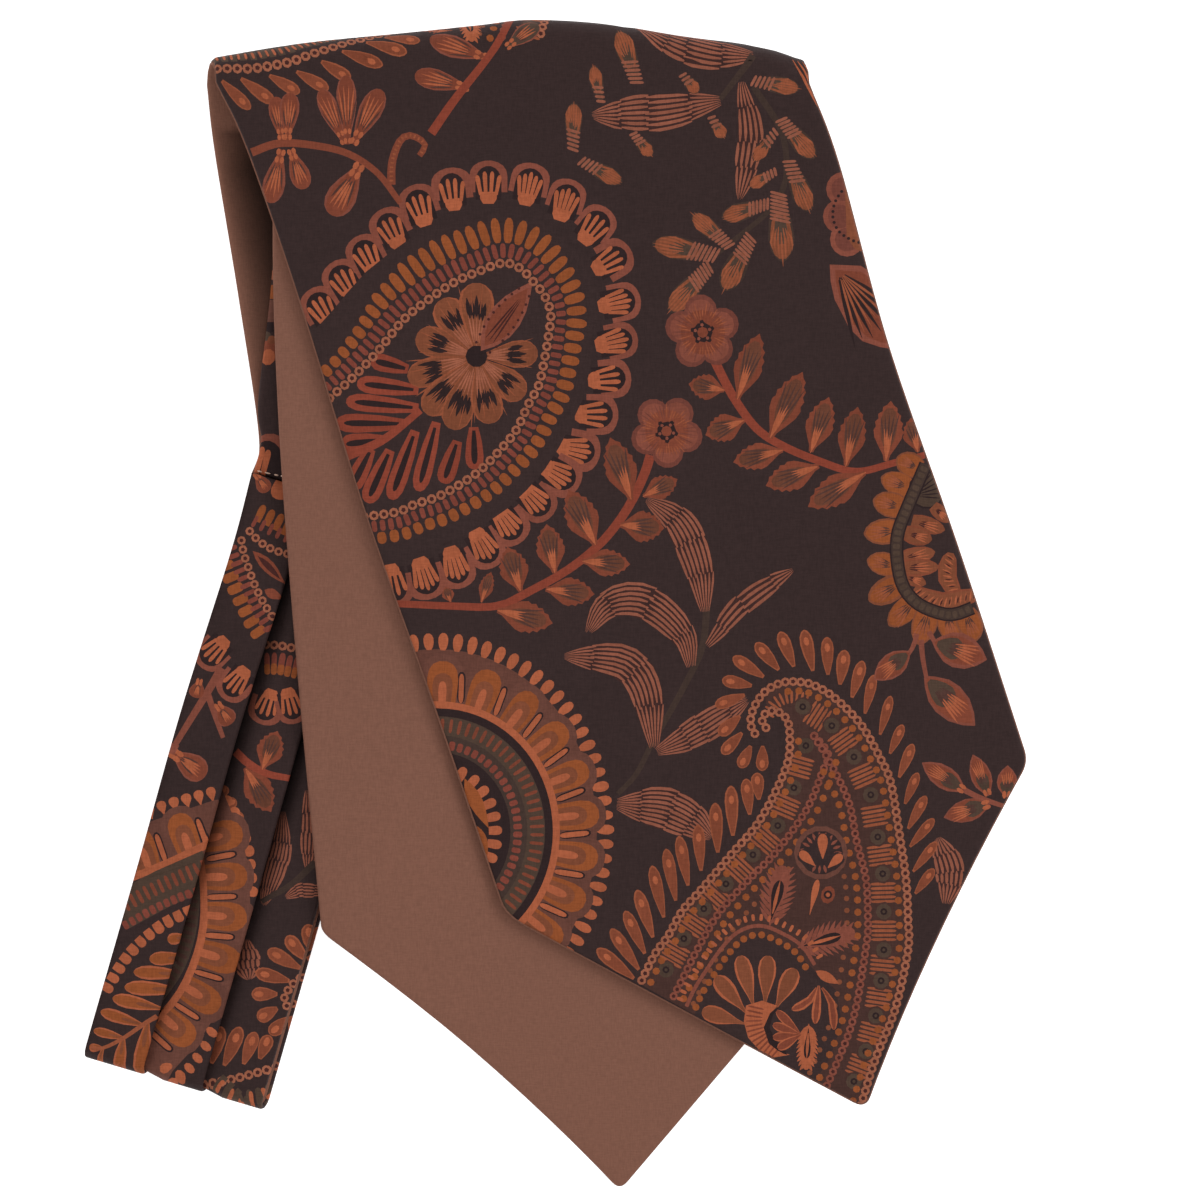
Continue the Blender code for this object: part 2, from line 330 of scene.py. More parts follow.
def fold_of(blade, under):
    """What the rolling of a flat blade needs: where the bend starts, and its radius."""
    crest = smooth_line(blade.crest, CREST_STEPS)
    chord = unit(crest[-1] - crest[0])
    outward = left_of(chord)
    level = blade.base + HALF_PAIR
    radius = (under(crest) + HALF_PAIR - level) / 2
    start = crest @ outward - radius - HALF_PAIR
    back_end = crest - outward * (radius + HALF_PAIR)[:, None]
    left = smooth_line((*blade.back_left, back_end[0]), BACK_STEPS)
    right = smooth_line((*blade.back_right, back_end[-1]), BACK_STEPS)
    along = crest @ chord + blade.slide
    return Fold(blade, under, chord, outward, along, start, radius, level, left, right)


def pleat_lift(fold, plan, behind):
    """How far the pleats lift the back: a saw tooth that fades from the stitch to the fold."""
    stitch = fold.left[0]
    side = unit(fold.right[0] - stitch)
    from_stitch = np.maximum((plan - stitch) @ left_of(side), 0)
    share = from_stitch / (from_stitch + np.maximum(behind, 0) + 1e-6)
    even = np.linspace(0, 1, BACK_STEPS + 1)
    lefts = look_up(share, even, fold.left)
    span = look_up(share, even, fold.right) - lefts
    across = np.clip(np.sum((plan - lefts) * span, axis=1) / np.sum(span * span, axis=1), 0, 1)
    within = (across * PLEATS) % 1
    rise = (within - PLEAT_OVERLAP) / (1 - PLEAT_OVERLAP)
    saw = np.where(within < PLEAT_OVERLAP, 1 - within / PLEAT_OVERLAP, rise)
    return PLEAT_RISE * (1 - share) * (fold.blade.saw * saw + fold.blade.plain)


def roll(fold, flat):
    """Carries flat points of a blade to the surface between its two cloths."""
    along = flat @ fold.chord
    start = np.interp(along, fold.along, fold.start)
    radius = np.interp(along, fold.along, fold.radius)
    past = flat @ fold.outward - start
    turn = np.clip(past / radius, 0, math.pi)
    behind = np.maximum(past - math.pi * radius, 0)
    out = np.where(past > 0, start + radius * np.sin(turn) - behind, start + past)
    side = along - fold.blade.slide * (1 - np.cos(turn)) / 2
    plan = side[:, None] * fold.chord + out[:, None] * fold.outward
    begin = along[:, None] * fold.chord + start[:, None] * fold.outward
    top = fold.level + 2 * radius
    mismatch = top - fold.under(begin) - HALF_PAIR
    front = fold.under(plan) + HALF_PAIR + mismatch * np.exp(np.minimum(past, 0) / MATCH_REACH)
    bent = fold.level + radius * (1 + np.cos(turn)) + pleat_lift(fold, plan, behind) * (behind > 0)
    return np.column_stack([plan, np.where(past > 0, bent, front)])


def unroll_back(fold, plan):
    """Where points of a blade's back, given as seen from above, lie on the flat cloth."""
    along = plan @ fold.chord + fold.blade.slide
    start = np.interp(along, fold.along, fold.start)
    radius = np.interp(along, fold.along, fold.radius)
    out = 2 * start + math.pi * radius - plan @ fold.outward
    return along[:, None] * fold.chord + out[:, None] * fold.outward


FOLD_A = fold_of(BLADE_A, under_blade_a)
FOLD_B = fold_of(BLADE_B, under_blade_b)
for side, fold in (("outer", FOLD_A), ("inner", FOLD_B)):
    print(side, "top fold of radius", round(fold.radius.mean(), 2), "mm")

# %% [markdown]
# ## The cut of a blade
# The flat outline goes round the blade's point, up one side past the fold to the stitch, across it
# and down the other side. Corners of sewn and turned cloth are never quite sharp, so each gets a
# small radius.

# %% Outline of a flat blade
EDGE_STEP = 4.0
POINT_STEPS = 12


def rounded(outline, corner, radius):
    """The closed outline with the corner nearest to a spot cut back to an arc."""
    turned = np.roll(outline, -np.argmin(np.linalg.norm(outline - corner, axis=1)), axis=0)
    at = turned[0]
    rest = turned[np.linalg.norm(turned - at, axis=1) > radius]
    t = np.linspace(0, 1, 7)[1:-1, None]
    arc = rest[-1] * (1 - t) ** 2 + at * 2 * t * (1 - t) + rest[0] * t * t
    return np.vstack([rest, arc])


def point_side(blade, corner, inward):
    """One side of the blade's point, from its corner almost to the tip. inward is how hollow it is."""
    across = unit(blade.front_right[-1] - blade.front_left[-1])
    t = np.linspace(0, 1, POINT_STEPS)[:, None]
    return corner + (blade.tip - corner) * t + across * inward * 4 * t * (1 - t)


def dense(line, step):
    """The line with points added so that none of its stretches is longer than a step."""
    points = []
    for start, end in zip(line[:-1], line[1:]):
        count = max(int(math.ceil(np.linalg.norm(end - start) / step)), 1)
        points += [start + (end - start) * t for t in np.linspace(0, 1, count, endpoint=False)]
    return np.array([*points, line[-1]])


def blade_outline(fold, radii):
    """The flat outline of a blade, anticlockwise. radii are for its left corner, right corner and tip."""
    blade = fold.blade
    starts = fold.along[[0, -1], None] * fold.chord + fold.start[[0, -1], None] * fold.outward
    right = smooth_line((starts[1], *blade.front_right), 60)[::-1]
    left = smooth_line((starts[0], *blade.front_left), 60)
    right_point = point_side(blade, blade.front_right[-1], -blade.hollow[1])[::-1]
    left_point = point_side(blade, blade.front_left[-1], blade.hollow[0])
    stitch = np.linspace(fold.right[0], fold.left[0], 16)[1:-1]
    back = np.vstack([unroll_back(fold, side) for side in (fold.right[::-1], stitch, fold.left)])
    outline = np.vstack([right_point[:-1], right, back, left, left_point[1:]])
    outline = dense(outline, EDGE_STEP)[:-1]
    for corner, radius in zip((blade.front_left[-1], blade.front_right[-1], blade.tip), radii):
        outline = rounded(outline, corner, radius)
    return outline


def grown(outline, amount):
    """The outline moved out by a small amount."""
    return outline - left_of(units(np.roll(outline, -1, axis=0) - np.roll(outline, 1, axis=0))) * amount


OUTLINE_A = blade_outline(FOLD_A, (4.0, 3.0, 2.0))
OUTLINE_B = blade_outline(FOLD_B, (1.5, 3.0, 2.5))
print("outlines of", len(OUTLINE_A), "and", len(OUTLINE_B), "points")

# %% [markdown]
# ## The inks
# The silk is printed in earth colours on a dark brown ground, in a dense pattern of curled drops,
# flowers and leafy stems. Each shape of the print has one of these inks.

# %% Inks

def silk(red, green, blue):
    """A colour for the renderer from ordinary screen values of 0 to 255."""
    value = np.array([red, green, blue]) / 255
    return np.where(value < 0.04045, value / 12.92, ((value + 0.055) / 1.055) ** 2.4)


GROUND = silk(52, 38, 37)
BLACK = silk(43, 30, 30)
CORAL = silk(160, 86, 57)
PALE = silk(150, 88, 66)
BEAD = silk(148, 89, 66)
HOLE = silk(66, 34, 31)
RIM = silk(124, 68, 54)
MAUVE = silk(97, 60, 50)
DUSK = silk(106, 58, 48)
OCHRE = silk(137, 73, 39)
DEEP_RED = silk(120, 60, 48)
STEM = silk(130, 60, 44)
TAN = silk(121, 68, 46)
LEAF = silk(119, 61, 44)
DIM_LEAF = silk(98, 58, 43)
SHADE = silk(76, 50, 44)
OLIVE = silk(74, 57, 47)
DARK_OLIVE = silk(62, 47, 41)
LIGHT_LINE = silk(136, 80, 62)
DARK_LINE = silk(60, 37, 34)
PETAL_RED = silk(122, 64, 44)
PETAL_EDGE = silk(140, 76, 51)
FIELD = silk(67, 44, 39)
LINING = silk(127, 87, 72)
print("inks ready, ground colour:", np.round(GROUND, 3))

# %% [markdown]
# ## Brush strokes
# Nearly all shapes of the print are strokes, with a middle line, a width and a profile, as a brush
# makes them. Each becomes a small polygon. The drawing functions put their shapes on one page, in
# the order in which they are to lie.

# %% Profiles of the strokes
# A profile gives shares of a stroke's length, each with its share of the half width there.
POINTED = spots(0, 0, 0.15, 0.58, 0.33, 0.95, 0.5, 1, 0.67, 0.82, 0.84, 0.44, 1, 0)
DROP = spots(0, 0.1, 0.2, 0.42, 0.42, 0.78, 0.64, 1, 0.8, 0.95, 0.92, 0.7, 1, 0.3)
PETAL = spots(0, 0.08, 0.2, 0.3, 0.42, 0.7, 0.6, 0.97, 0.76, 1, 0.89, 0.85, 0.97, 0.5, 1, 0.2)
ARCH = spots(0, 1, 0.52, 1, 0.7, 0.94, 0.84, 0.78, 0.94, 0.52, 1, 0.18)
TONGUE = spots(0, 0.85, 0.3, 0.95, 0.6, 1, 0.8, 0.9, 0.93, 0.65, 1, 0.25)
LOOP = spots(0, 0.5, 0.35, 0.85, 0.7, 1, 0.86, 0.92, 0.96, 0.62, 1, 0.25)
CAPSULE = spots(0, 0.35, 0.07, 0.8, 0.2, 1, 0.8, 1, 0.93, 0.8, 1, 0.35)
STREAK = spots(0, 0.3, 0.35, 1, 0.7, 0.8, 1, 0.1)
FINGER = spots(0, 0.75, 0.55, 0.9, 0.8, 1, 0.93, 0.8, 1, 0.35)
SPINDLE = spots(0, 0.2, 0.15, 0.5, 0.4, 0.85, 0.66, 1, 0.84, 0.8, 0.95, 0.42, 1, 0.05)
SLIM = spots(0, 0.24, 0.16, 0.5, 0.4, 0.84, 0.68, 1, 0.85, 0.86, 0.96, 0.48, 1, 0.12)
LOBE = spots(0, 0.75, 0.25, 1, 0.52, 1, 0.76, 0.8, 0.92, 0.46, 1, 0.08)
BUD = spots(0, 0.08, 0.1, 0.42, 0.28, 0.86, 0.46, 1, 0.68, 0.88, 0.87, 0.48, 1, 0.03)
PEBBLE = spots(0, 0.45, 0.1, 0.8, 0.3, 1, 0.7, 1, 0.88, 0.8, 1, 0.35)
BELL = spots(0, 0.2, 0.16, 0.36, 0.38, 0.74, 0.6, 1, 0.78, 0.97, 0.91, 0.74, 0.98, 0.4, 1, 0.1)
OVAL = spots(0, 0.45, 0.18, 0.8, 0.45, 1, 0.7, 1, 0.9, 0.72, 1, 0.3)
TOOTHED = spots(
    0, 0.16, 0.1, 0.26, 0.24, 0.62, 0.38, 0.94, 0.5, 1.04, 0.56, 0.9, 0.64, 0.98, 0.69, 0.76, 0.77, 0.8,
    0.82, 0.52, 0.89, 0.5, 0.93, 0.24, 1, 0.02,
)
LONG_LEAF = spots(0, 0.26, 0.1, 0.5, 0.28, 0.86, 0.48, 1, 0.66, 0.96, 0.82, 0.74, 0.94, 0.4, 1, 0.16)
CUFF = spots(0, 0.6, 0.4, 0.95, 1, 1)


def level(count):
    """A profile of even width, with a number of spots."""
    return [(share, 1) for share in np.linspace(0, 1, count)]


print("profiles ready, the toothed one of", len(TOOTHED), "spots")

# %% Strokes and dots
Ink = namedtuple("Ink", "outline colour")
page = []
brush = np.random.default_rng(11)


def pairs(*numbers):
    """Pairs of a base and a tip, from a run of their x and y in millimetres."""
    return np.reshape(np.array(numbers, float), (-1, 2, 2))


def sized(*numbers):
    """Bases and tips like those, each pair with a half width after it."""
    return [(row[:2], row[2:4], row[4]) for row in np.reshape(numbers, (-1, 5))]


def ends(base, tip):
    """The base, and the way from it to the tip."""
    base = np.array(base, float)
    return base, np.array(tip, float) - base


def polygon(ring, colour):
    """One inked polygon, its corners anticlockwise."""
    ring = ring[np.linalg.norm(ring - np.roll(ring, 1, axis=0), axis=1) > 0.01]
    x, y = ring.T
    area = np.sum(x * np.roll(y, -1) - y * np.roll(x, -1))
    return Ink(ring if area > 0 else ring[::-1], colour)


def fill(ring, ink):
    """Put a polygon on the page."""
    page.append(polygon(np.array(ring), ink))


def drawn(*drawings):
    """The inks that some drawings leave on a new page."""
    page.clear()
    for drawing in drawings:
        drawing()
    return list(page)


def stroke(spine, half, profile, ink):
    """A brush stroke of a half width along a spine of two or more points."""
    spine = np.array(spine, float)
    share, wide = np.array(profile, float).T
    fine = smooth_line(spine, 24) if len(spine) > 2 else spine
    line = look_up(share, np.linspace(0, 1, len(fine)), fine)
    wide = wide * half * brush.uniform(0.94, 1.06)
    side = left_of(units(np.gradient(line, axis=0))) * wide[:, None]
    fill(np.vstack([line + side, (line - side)[::-1]]), ink)


def edged(spine, half, profile, edge, ink, share=0.8):
    """A stroke with a narrower one on it, so that an edge shows all round."""
    stroke(spine, half, profile, edge)
    stroke(spine, half * share, profile, ink)


def dot(centre, radius, ink, sides=8, ahead=(1, 0), stretch=1.0):
    """A filled round spot, or an oval stretched along a direction."""
    turn = np.linspace(0, 2 * math.pi, sides, endpoint=False)
    along = unit(ahead)
    ring = np.cos(turn)[:, None] * along * stretch + np.sin(turn)[:, None] * left_of(along)
    fill(np.array(centre, float) + ring * radius, ink)


print("strokes and dots ready")

# %% [markdown]
# ## Rows, chains and fans
# Much of the print repeats along a line: beads, dots, short bars and petals. Fine strokes open out
# from the foot of a petal or a leaf. So these helpers take a line or a foot, and how often to draw.

# %% Rows, chains and fans
def lane(line, pitch):
    """Places at an even pitch along a smooth line, and the directions ahead and to the left there."""
    length = line_length(smooth_line(line, 100))
    points = smooth_line(line, 2 * max(int(round(length / pitch)), 1))
    ahead = units(points[2::2] - points[:-1:2])
    return points[1::2], ahead, left_of(ahead)


def dotted(line, pitch, away, *look):
    """A row of dots beside a line, at a distance to its left."""
    places, _, left = lane(line, pitch)
    for place in places + left * away:
        dot(place, *look)


def rungs(line, pitch, low, high, half, profile, ink, lean=0.0):
    """Bars that stand across a line, from low to high on its left. Both may change along it."""
    at, _, left = lane(line, 1.0)
    even = np.linspace(0, 1, len(at))
    low, high = np.atleast_1d(low), np.atleast_1d(high)
    lows = np.interp(even, np.linspace(0, 1, len(low)), low)
    highs = np.interp(even, np.linspace(0, 1, len(high)), high)
    middles = at + left * ((lows + highs) / 2)[:, None]
    run = running(middles)
    count = max(int(round(run[-1] / pitch)), 1)
    for share in np.interp((np.arange(count) + 0.5) / count * run[-1], run, even):
        place = look_up(share, even, middles)
        out = unit(look_up(share, even, left))
        reach = np.interp(share, even, highs - lows) / 2 * brush.uniform(0.95, 1.05)
        aim = unit(out - left_of(out) * lean)
        stroke((place - aim * reach, place + aim * reach), half, profile, ink)


def chain(line, radius, pitch, ink=BEAD):
    """A string of ring beads."""
    at, ahead, _ = lane(line, pitch)
    for size, tint, sides in ((radius, ink, 8), (radius * 0.5, HOLE, 5)):
        for place, onward in zip(at, ahead):
            dot(place, size, tint, sides, onward)


def fan(base, tip, spread, low, high, count, half, ink):
    """Thin strokes that open out from a base towards a tip. low and high are shares of the way there."""
    base, way = ends(base, tip)
    for across in np.linspace(-spread, spread, count):
        aim = way + left_of(way) * across
        aim *= np.linalg.norm(way) / np.linalg.norm(aim)
        start = low + brush.uniform(-0.04, 0.04)
        end = high + brush.uniform(-0.06, 0.06)
        stroke((base + aim * start, base + aim * end), half, STREAK, ink)


def stalk(line, half, ink=STEM):
    """A stem that thins towards its end."""
    steps = np.linspace(0, 1, max(int(line_length(np.array(line, float)) / 1.6), 4))
    stroke(line, half, list(zip(steps, 1 - 0.3 * steps)), ink)


print("rows, chains and fans ready")

# %% [markdown]
# ## Leaves and small flowers
# Each kind of leaf, bud and flower is drawn by its own function, with strokes that differ a little
# each time. So no two of them are quite alike, just as they would be if a hand had drawn them.

# %% Small leaves and buds
def palm(centre, aim, size=1.0):
    """A scallop with an open hand of fingers in it."""
    centre = np.array(centre, float)
    up = unit(np.array(aim, float) - centre) * size
    stroke((centre - up * 1.85, centre + up * 7.12), 5.53 * size, ARCH, RIM)
    stroke((centre - up * 3.99, centre + up * 5.56), 3.88 * size, ARCH, BLACK)
    stroke((centre - up * 5.13, centre - up * 1.71), 2.56 * size, CUFF, CORAL)
    for share in np.linspace(-1, 1, brush.choice([4, 4, 5])):
        foot = centre - up * 2.56 + left_of(up) * share * 2.17
        top = centre + up * (4.56 - abs(share) * 1.57) + left_of(up) * share * 3.28
        stroke((foot, top), 0.63 * size, FINGER, CORAL)


def veined_leaf(base, tip, half):
    """A small leaf with a toothed edge, dim streaks and pale veins that rise from its stalk."""
    base, way = ends(base, tip)
    stroke((base, base + way * 0.5, tip), half, TOOTHED, LEAF)
    stroke((base + way * 0.24, base + way * 0.88), half * 0.6, OVAL, DIM_LEAF)
    open_out = min(0.3, 0.85 * half / np.linalg.norm(way))
    fan(base, tip, open_out, 0.34, 0.8, 5, half * 0.065, SHADE)
    fan(base, tip, open_out * 0.66, 0.02, 0.48, 4, half * 0.09, CORAL)


def neck_grains(base, tip, half, share, aside, stretch):
    """Two bright grains side by side on the neck of a leaf or bud."""
    base, way = ends(base, tip)
    for side in (-1, 1):
        spot = base + way * share + unit(left_of(way)) * half * aside * side
        dot(spot, half * 0.2, CORAL, 7, way, stretch)


def bud_leaf(base, tip, half, ink=LEAF):
    """A smooth rounded leaf with pale strokes down its middle and grains on its neck."""
    edged((base, tip), half, BELL, RIM, ink, 0.84)
    fan(base, tip, 0.22, 0.3, 0.7, 4, half * 0.09, SHADE)
    fan(base, tip, 0.14, 0.36, 0.84, 4, half * 0.09, CORAL)
    for share in (0.05, 0.19):
        neck_grains(base, tip, half, share, 0.23, 1.6)


def hanging_bud(base, tip, half):
    """A pointed bud, dark and hairy where it hangs and pale further down."""
    base, way = ends(base, tip)
    open_out = 0.8 * half / np.linalg.norm(way)
    stroke((base, tip), half, BUD, RIM)
    stroke((base + way * 0.04, base + way * 0.95), half * 0.84, BUD, LEAF)
    stroke((base + way * 0.08, base + way * 0.56), half * 0.66, SPINDLE, OLIVE)
    fan(base, tip, open_out, 0.3, 0.6, 6, half * 0.07, SHADE)
    fan(base, tip, open_out * 0.9, 0.44, 0.8, 6, half * 0.07, CORAL)


print("small leaves and buds ready")

# %% Striped and barred leaves
LEAF_STEPS = 30
NECK = 0.4
BLOCK_ENDS = (0.27, 0.52, 0.77)


def striped_leaf(spine, half, stripes):
    """A long curved leaf of fine lengthwise lines that break and shift from block to block."""
    line = smooth_line(spine, LEAF_STEPS)
    aside = left_of(units(np.gradient(line, axis=0)))
    stroke(line[1:-1], half, LONG_LEAF, DARK_LINE)
    width = np.interp(np.linspace(0, 1, LEAF_STEPS + 1), *LONG_LEAF.T) * half
    cuts = np.array([0, *(BLOCK_ENDS + brush.uniform(-0.06, 0.06, 3)), 1]) * LEAF_STEPS
    numbers = np.arange(LEAF_STEPS + 1)
    for across in np.linspace(-0.93, 0.93, stripes):
        for block, (start, end) in enumerate(zip(cuts[:-1], cuts[1:])):
            shift = across + (0.35 / stripes if block % 2 else -0.35 / stripes)
            steps = np.linspace(start + brush.uniform(-0.7, 0.3), end + brush.uniform(-0.5, 0.5), 5)
            steps = np.clip(steps, 0, LEAF_STEPS)
            mark = look_up(steps, numbers, line + aside * (width * shift)[:, None])
            wide = np.interp(steps, numbers, width) * (0.5, 1, 1, 1, 0.4)
            stroke(mark, 0.66 / stripes, list(zip(np.linspace(0, 1, 5), wide)), LIGHT_LINE)


def barred_leaf(base, tip, half):
    """A small pointed leaf: cross bars on its neck, lengthwise hairs on the rest."""
    base, way = ends(base, tip)
    aside = left_of(way) / np.linalg.norm(way)
    slant = way * 0.04
    stroke((base, tip), half * 0.9, SPINDLE, DARK_OLIVE)
    stroke((base + way * (NECK - 0.1), base + way * 0.95), half * 0.74, OVAL, TAN)
    stroke((base + way * (NECK - 0.08), base + way * 0.74), half * 0.45, OVAL, OLIVE)
    for share in np.linspace(0.02, NECK, max(int(NECK * math.dist(base, tip) / 1.11) + 1, 3)):
        wide = half * (0.56 + 0.14 * share / NECK)
        place = base + way * share
        bar = (place - aside * wide - slant, place + aside * wide + slant)
        stroke(bar, 0.40, CAPSULE, LIGHT_LINE)
    for across in np.linspace(-1, 1, 7):
        start = base + way * (NECK + brush.uniform(0.02, 0.2)) + aside * half * across * 0.45
        middle = base + way * 0.7 + aside * half * across * 0.74
        reach = 1.02 - 0.2 * abs(across) + brush.uniform(-0.05, 0.05)
        end = base + way * reach + aside * half * across * 0.66
        stroke((start, middle, end), 0.31, STREAK, PETAL_EDGE)


print("striped and barred leaves ready")

# %% Roses and petals
ROSE_RAYS = 44


def rose(centre, radius, turn):
    """A round flower of five lobes with fine rays and a dark ring at its heart."""
    centre = np.array(centre, float)
    angles = turn + np.arange(5) * 2 * math.pi / 5
    outs = np.column_stack([np.cos(angles), np.sin(angles)])

    def ring(away, size, ink, sides):
        for out in outs:
            dot(centre + out * radius * away, radius * size, ink, sides)

    ring(0.58, 0.44, DUSK, 14)
    ring(0.53, 0.36, RIM, 12)
    dot(centre, radius * 0.6, LEAF, 16)
    for angle in np.linspace(0, 2 * math.pi, ROSE_RAYS, endpoint=False):
        out = np.array([math.cos(angle), math.sin(angle)])
        near, far = brush.uniform(0.28, 0.5), brush.uniform(0.6, 0.92)
        ray = (centre + out * radius * near, centre + out * radius * far)
        stroke(ray, 0.17, STREAK, PETAL_EDGE if far < 0.8 else DUSK)
    dot(centre, radius * 0.27, BLACK, 9)
    dot(centre, radius * 0.15, LEAF, 8)
    ring(0.27, 0.07, BLACK, 5)
    ring(0.2, 0.05, RIM, 5)


def loop_leaf(base, tip, half):
    """A long open loop, round at its tip."""
    base, way = ends(base, tip)
    stroke((base, tip), half, LOOP, STEM)
    stroke((base + way * 0.08, base + way * 0.88), half * 0.34, LOOP, BLACK)


def fringe(petals, half):
    """Slim petals from pairs of base and tip, each edged and with a bright oval near its tip."""
    for base, tip in petals:
        base, way = ends(base, tip)
        stroke((base, tip), half, SLIM, PETAL_EDGE)
        stroke((base + way * 0.05, base + way * 0.96), half * 0.8, SLIM, PETAL_RED)
        dot(base + way * 0.72, half * 0.42, CORAL, 8, way, 1.6)


print("roses and petals ready")

# %% [markdown]
# ## How a cloth is made
# A flat outline, the inks on it and a grid of points go into one triangulation. Every edge of the
# print becomes an edge of the mesh, so each triangle has one ink and the print stays sharp from near
# by.

# %% Cut a flat cloth
EDGE_CLEAR = 1.8
ROW_SHARE = 0.87
CUT_PRECISION = 1e-4
Cut = namedtuple("Cut", "points triangles inks loop")


def is_inside(points, outline):
    """True for each point that lies inside a closed outline."""
    result = np.zeros(len(points), bool)
    for (x0, y0), (x1, y1) in zip(outline, np.roll(outline, -1, axis=0)):
        crosses = (y0 > points[:, 1]) != (y1 > points[:, 1])
        at = x0 + (points[:, 1] - y0) * (x1 - x0) / (y1 - y0 if y1 != y0 else 1)
        result ^= crosses & (points[:, 0] < at)
    return result


def touching(inks, outline):
    """The inks that have a corner inside a closed outline."""
    if not inks:
        return []
    inside = is_inside(np.vstack([ink.outline for ink in inks]), outline)
    starts = np.cumsum([0, *[len(ink.outline) for ink in inks[:-1]]])
    return [ink for ink, hit in zip(inks, np.logical_or.reduceat(inside, starts)) if hit]


def edge_distance(points, outline):
    """How far each point is from a closed outline."""
    nearest = np.full(len(points), np.inf)
    for start, end in zip(outline, np.roll(outline, -1, axis=0)):
        along = end - start
        share = np.clip((points - start) @ along / max(along @ along, 1e-12), 0, 1)
        away = np.hypot(*(points - start - share[:, None] * along).T)
        nearest = np.minimum(nearest, away)
    return nearest


def boundary(triangles):
    """The closed loop of vertices round a set of triangles."""
    edges = {(a, b) for t in triangles for a, b in zip(t, (t[1], t[2], t[0]))}
    ahead = {a: b for a, b in edges if (b, a) not in edges}
    first = next(iter(ahead))
    loop = [first]
    while ahead[loop[-1]] != first:
        loop.append(ahead[loop[-1]])
    return loop


def cut(outline, shapes, step, lines=()):
    """Triangles of the flat cloth, each with the number of the topmost shape on it, 0 for none."""
    low, high = outline.min(axis=0), outline.max(axis=0)
    rows = np.arange(low[1], high[1], step * ROW_SHARE)
    columns, rows = np.meshgrid(np.arange(low[0], high[0], step), rows)
    columns[1::2] += step / 2
    grid = np.column_stack([columns.ravel(), rows.ravel()])
    grid = grid[is_inside(grid, outline)]
    grid = grid[edge_distance(grid, outline) > min(step / 2, EDGE_CLEAR)]
    points, faces, edges = [outline], [list(range(len(outline)))], []
    count = len(outline)
    for shape in shapes:
        points.append(shape)
        faces.append(list(range(count, count + len(shape))))
        count += len(shape)
    for line in lines:
        points.append(line)
        edges += [(count + number, count + number + 1) for number in range(len(line) - 1)]
        count += len(line)
    points.append(grid)
    flat = [Vector(point) for point in np.vstack(points).tolist()]
    result = delaunay_2d_cdt(flat, edges, faces, 0, CUT_PRECISION, True)
    kept = [(t, max(ids)) for t, ids in zip(result[2], result[5]) if 0 in ids]
    placed = np.array([point[:] for point in result[0]])
    triangles = np.array([t for t, ids in kept])
    spans = placed[triangles[:, 1:]] - placed[triangles[:, :1]]
    turned = spans[:, 0, 0] * spans[:, 1, 1] < spans[:, 0, 1] * spans[:, 1, 0]
    triangles[turned] = triangles[turned][:, ::-1]
    used, numbers = np.unique(triangles, return_inverse=True)
    triangles = numbers.reshape(triangles.shape)
    return Cut(placed[used], triangles, np.array([ids for t, ids in kept]), boundary(triangles.tolist()))

# %% [markdown]
# ## How a cloth is laid
# The triangles are carried to the form. Each cloth is a closed thin shell. Its face and its reverse
# come together in a small roll at the seam, as a turned edge does. The inks go on as a colour at
# every corner, each a little uneven in tone. Where a cloth is given a shade, painted shade darkens
# that colour. The flat cloth gives the UV map.

# %% Lay a cloth
GRID_STEP = 3.4
REVERSE_STEP = 9.0
ROLL = 1.3
ROLL_STEPS = (0.15, 0.5, 1.2)
SEAM_LEVEL = 0.25
NUDGE = 0.05
UNEVEN_TONE = 0.07
FRONT_SCALE = 0.98
BACK_SCALE = 0.3
MAP_MARGIN = 0.01
MAP_GAP = 0.03


def lie(lay, points):
    """Where flat points lie, and the direction across the cloth there."""
    ahead = lay(points + (NUDGE, 0)) - lay(points - (NUDGE, 0))
    aside = lay(points + (0, NUDGE)) - lay(points - (0, NUDGE))
    return lay(points), units(np.cross(ahead, aside))


def paint(mesh, corners, inks, numbers, ground, light):
    """Store a colour at every corner: ink on the front, lining on the rest, darkened by painted shade."""
    random = np.random.default_rng(len(inks) + 3)
    tones = np.vstack([ground, *[ink.colour for ink in inks]])
    tones = tones * random.uniform(1 - UNEVEN_TONE, 1 + UNEVEN_TONE, (len(tones), 1))
    front = np.repeat(tones[numbers], 3, axis=0)
    rest = np.tile(LINING, (len(corners) - len(front), 1))
    colours = np.vstack([front, rest]) * light[corners][:, None]
    layer = mesh.color_attributes.new("ink", "FLOAT_COLOR", "CORNER")
    layer.data.foreach_set("color", np.column_stack([colours, np.ones(len(colours))]).ravel())


def unwrap(mesh, corners, outline, front, back):
    """Lay the flat cloth out as the UV map, its front large and its back small beside it."""
    low, high = outline.min(axis=0), outline.max(axis=0)
    span = (high - low).max()
    flat_front = (front.points - low) / span * FRONT_SCALE + MAP_MARGIN
    aside = ((high - low)[0] / span + MAP_GAP, MAP_MARGIN)
    flat_back = (back.points - low) / span * BACK_SCALE + aside
    layer = mesh.uv_layers.new(name="OFBake")
    layer.data.foreach_set("uv", np.vstack([flat_front, flat_back])[corners].ravel())


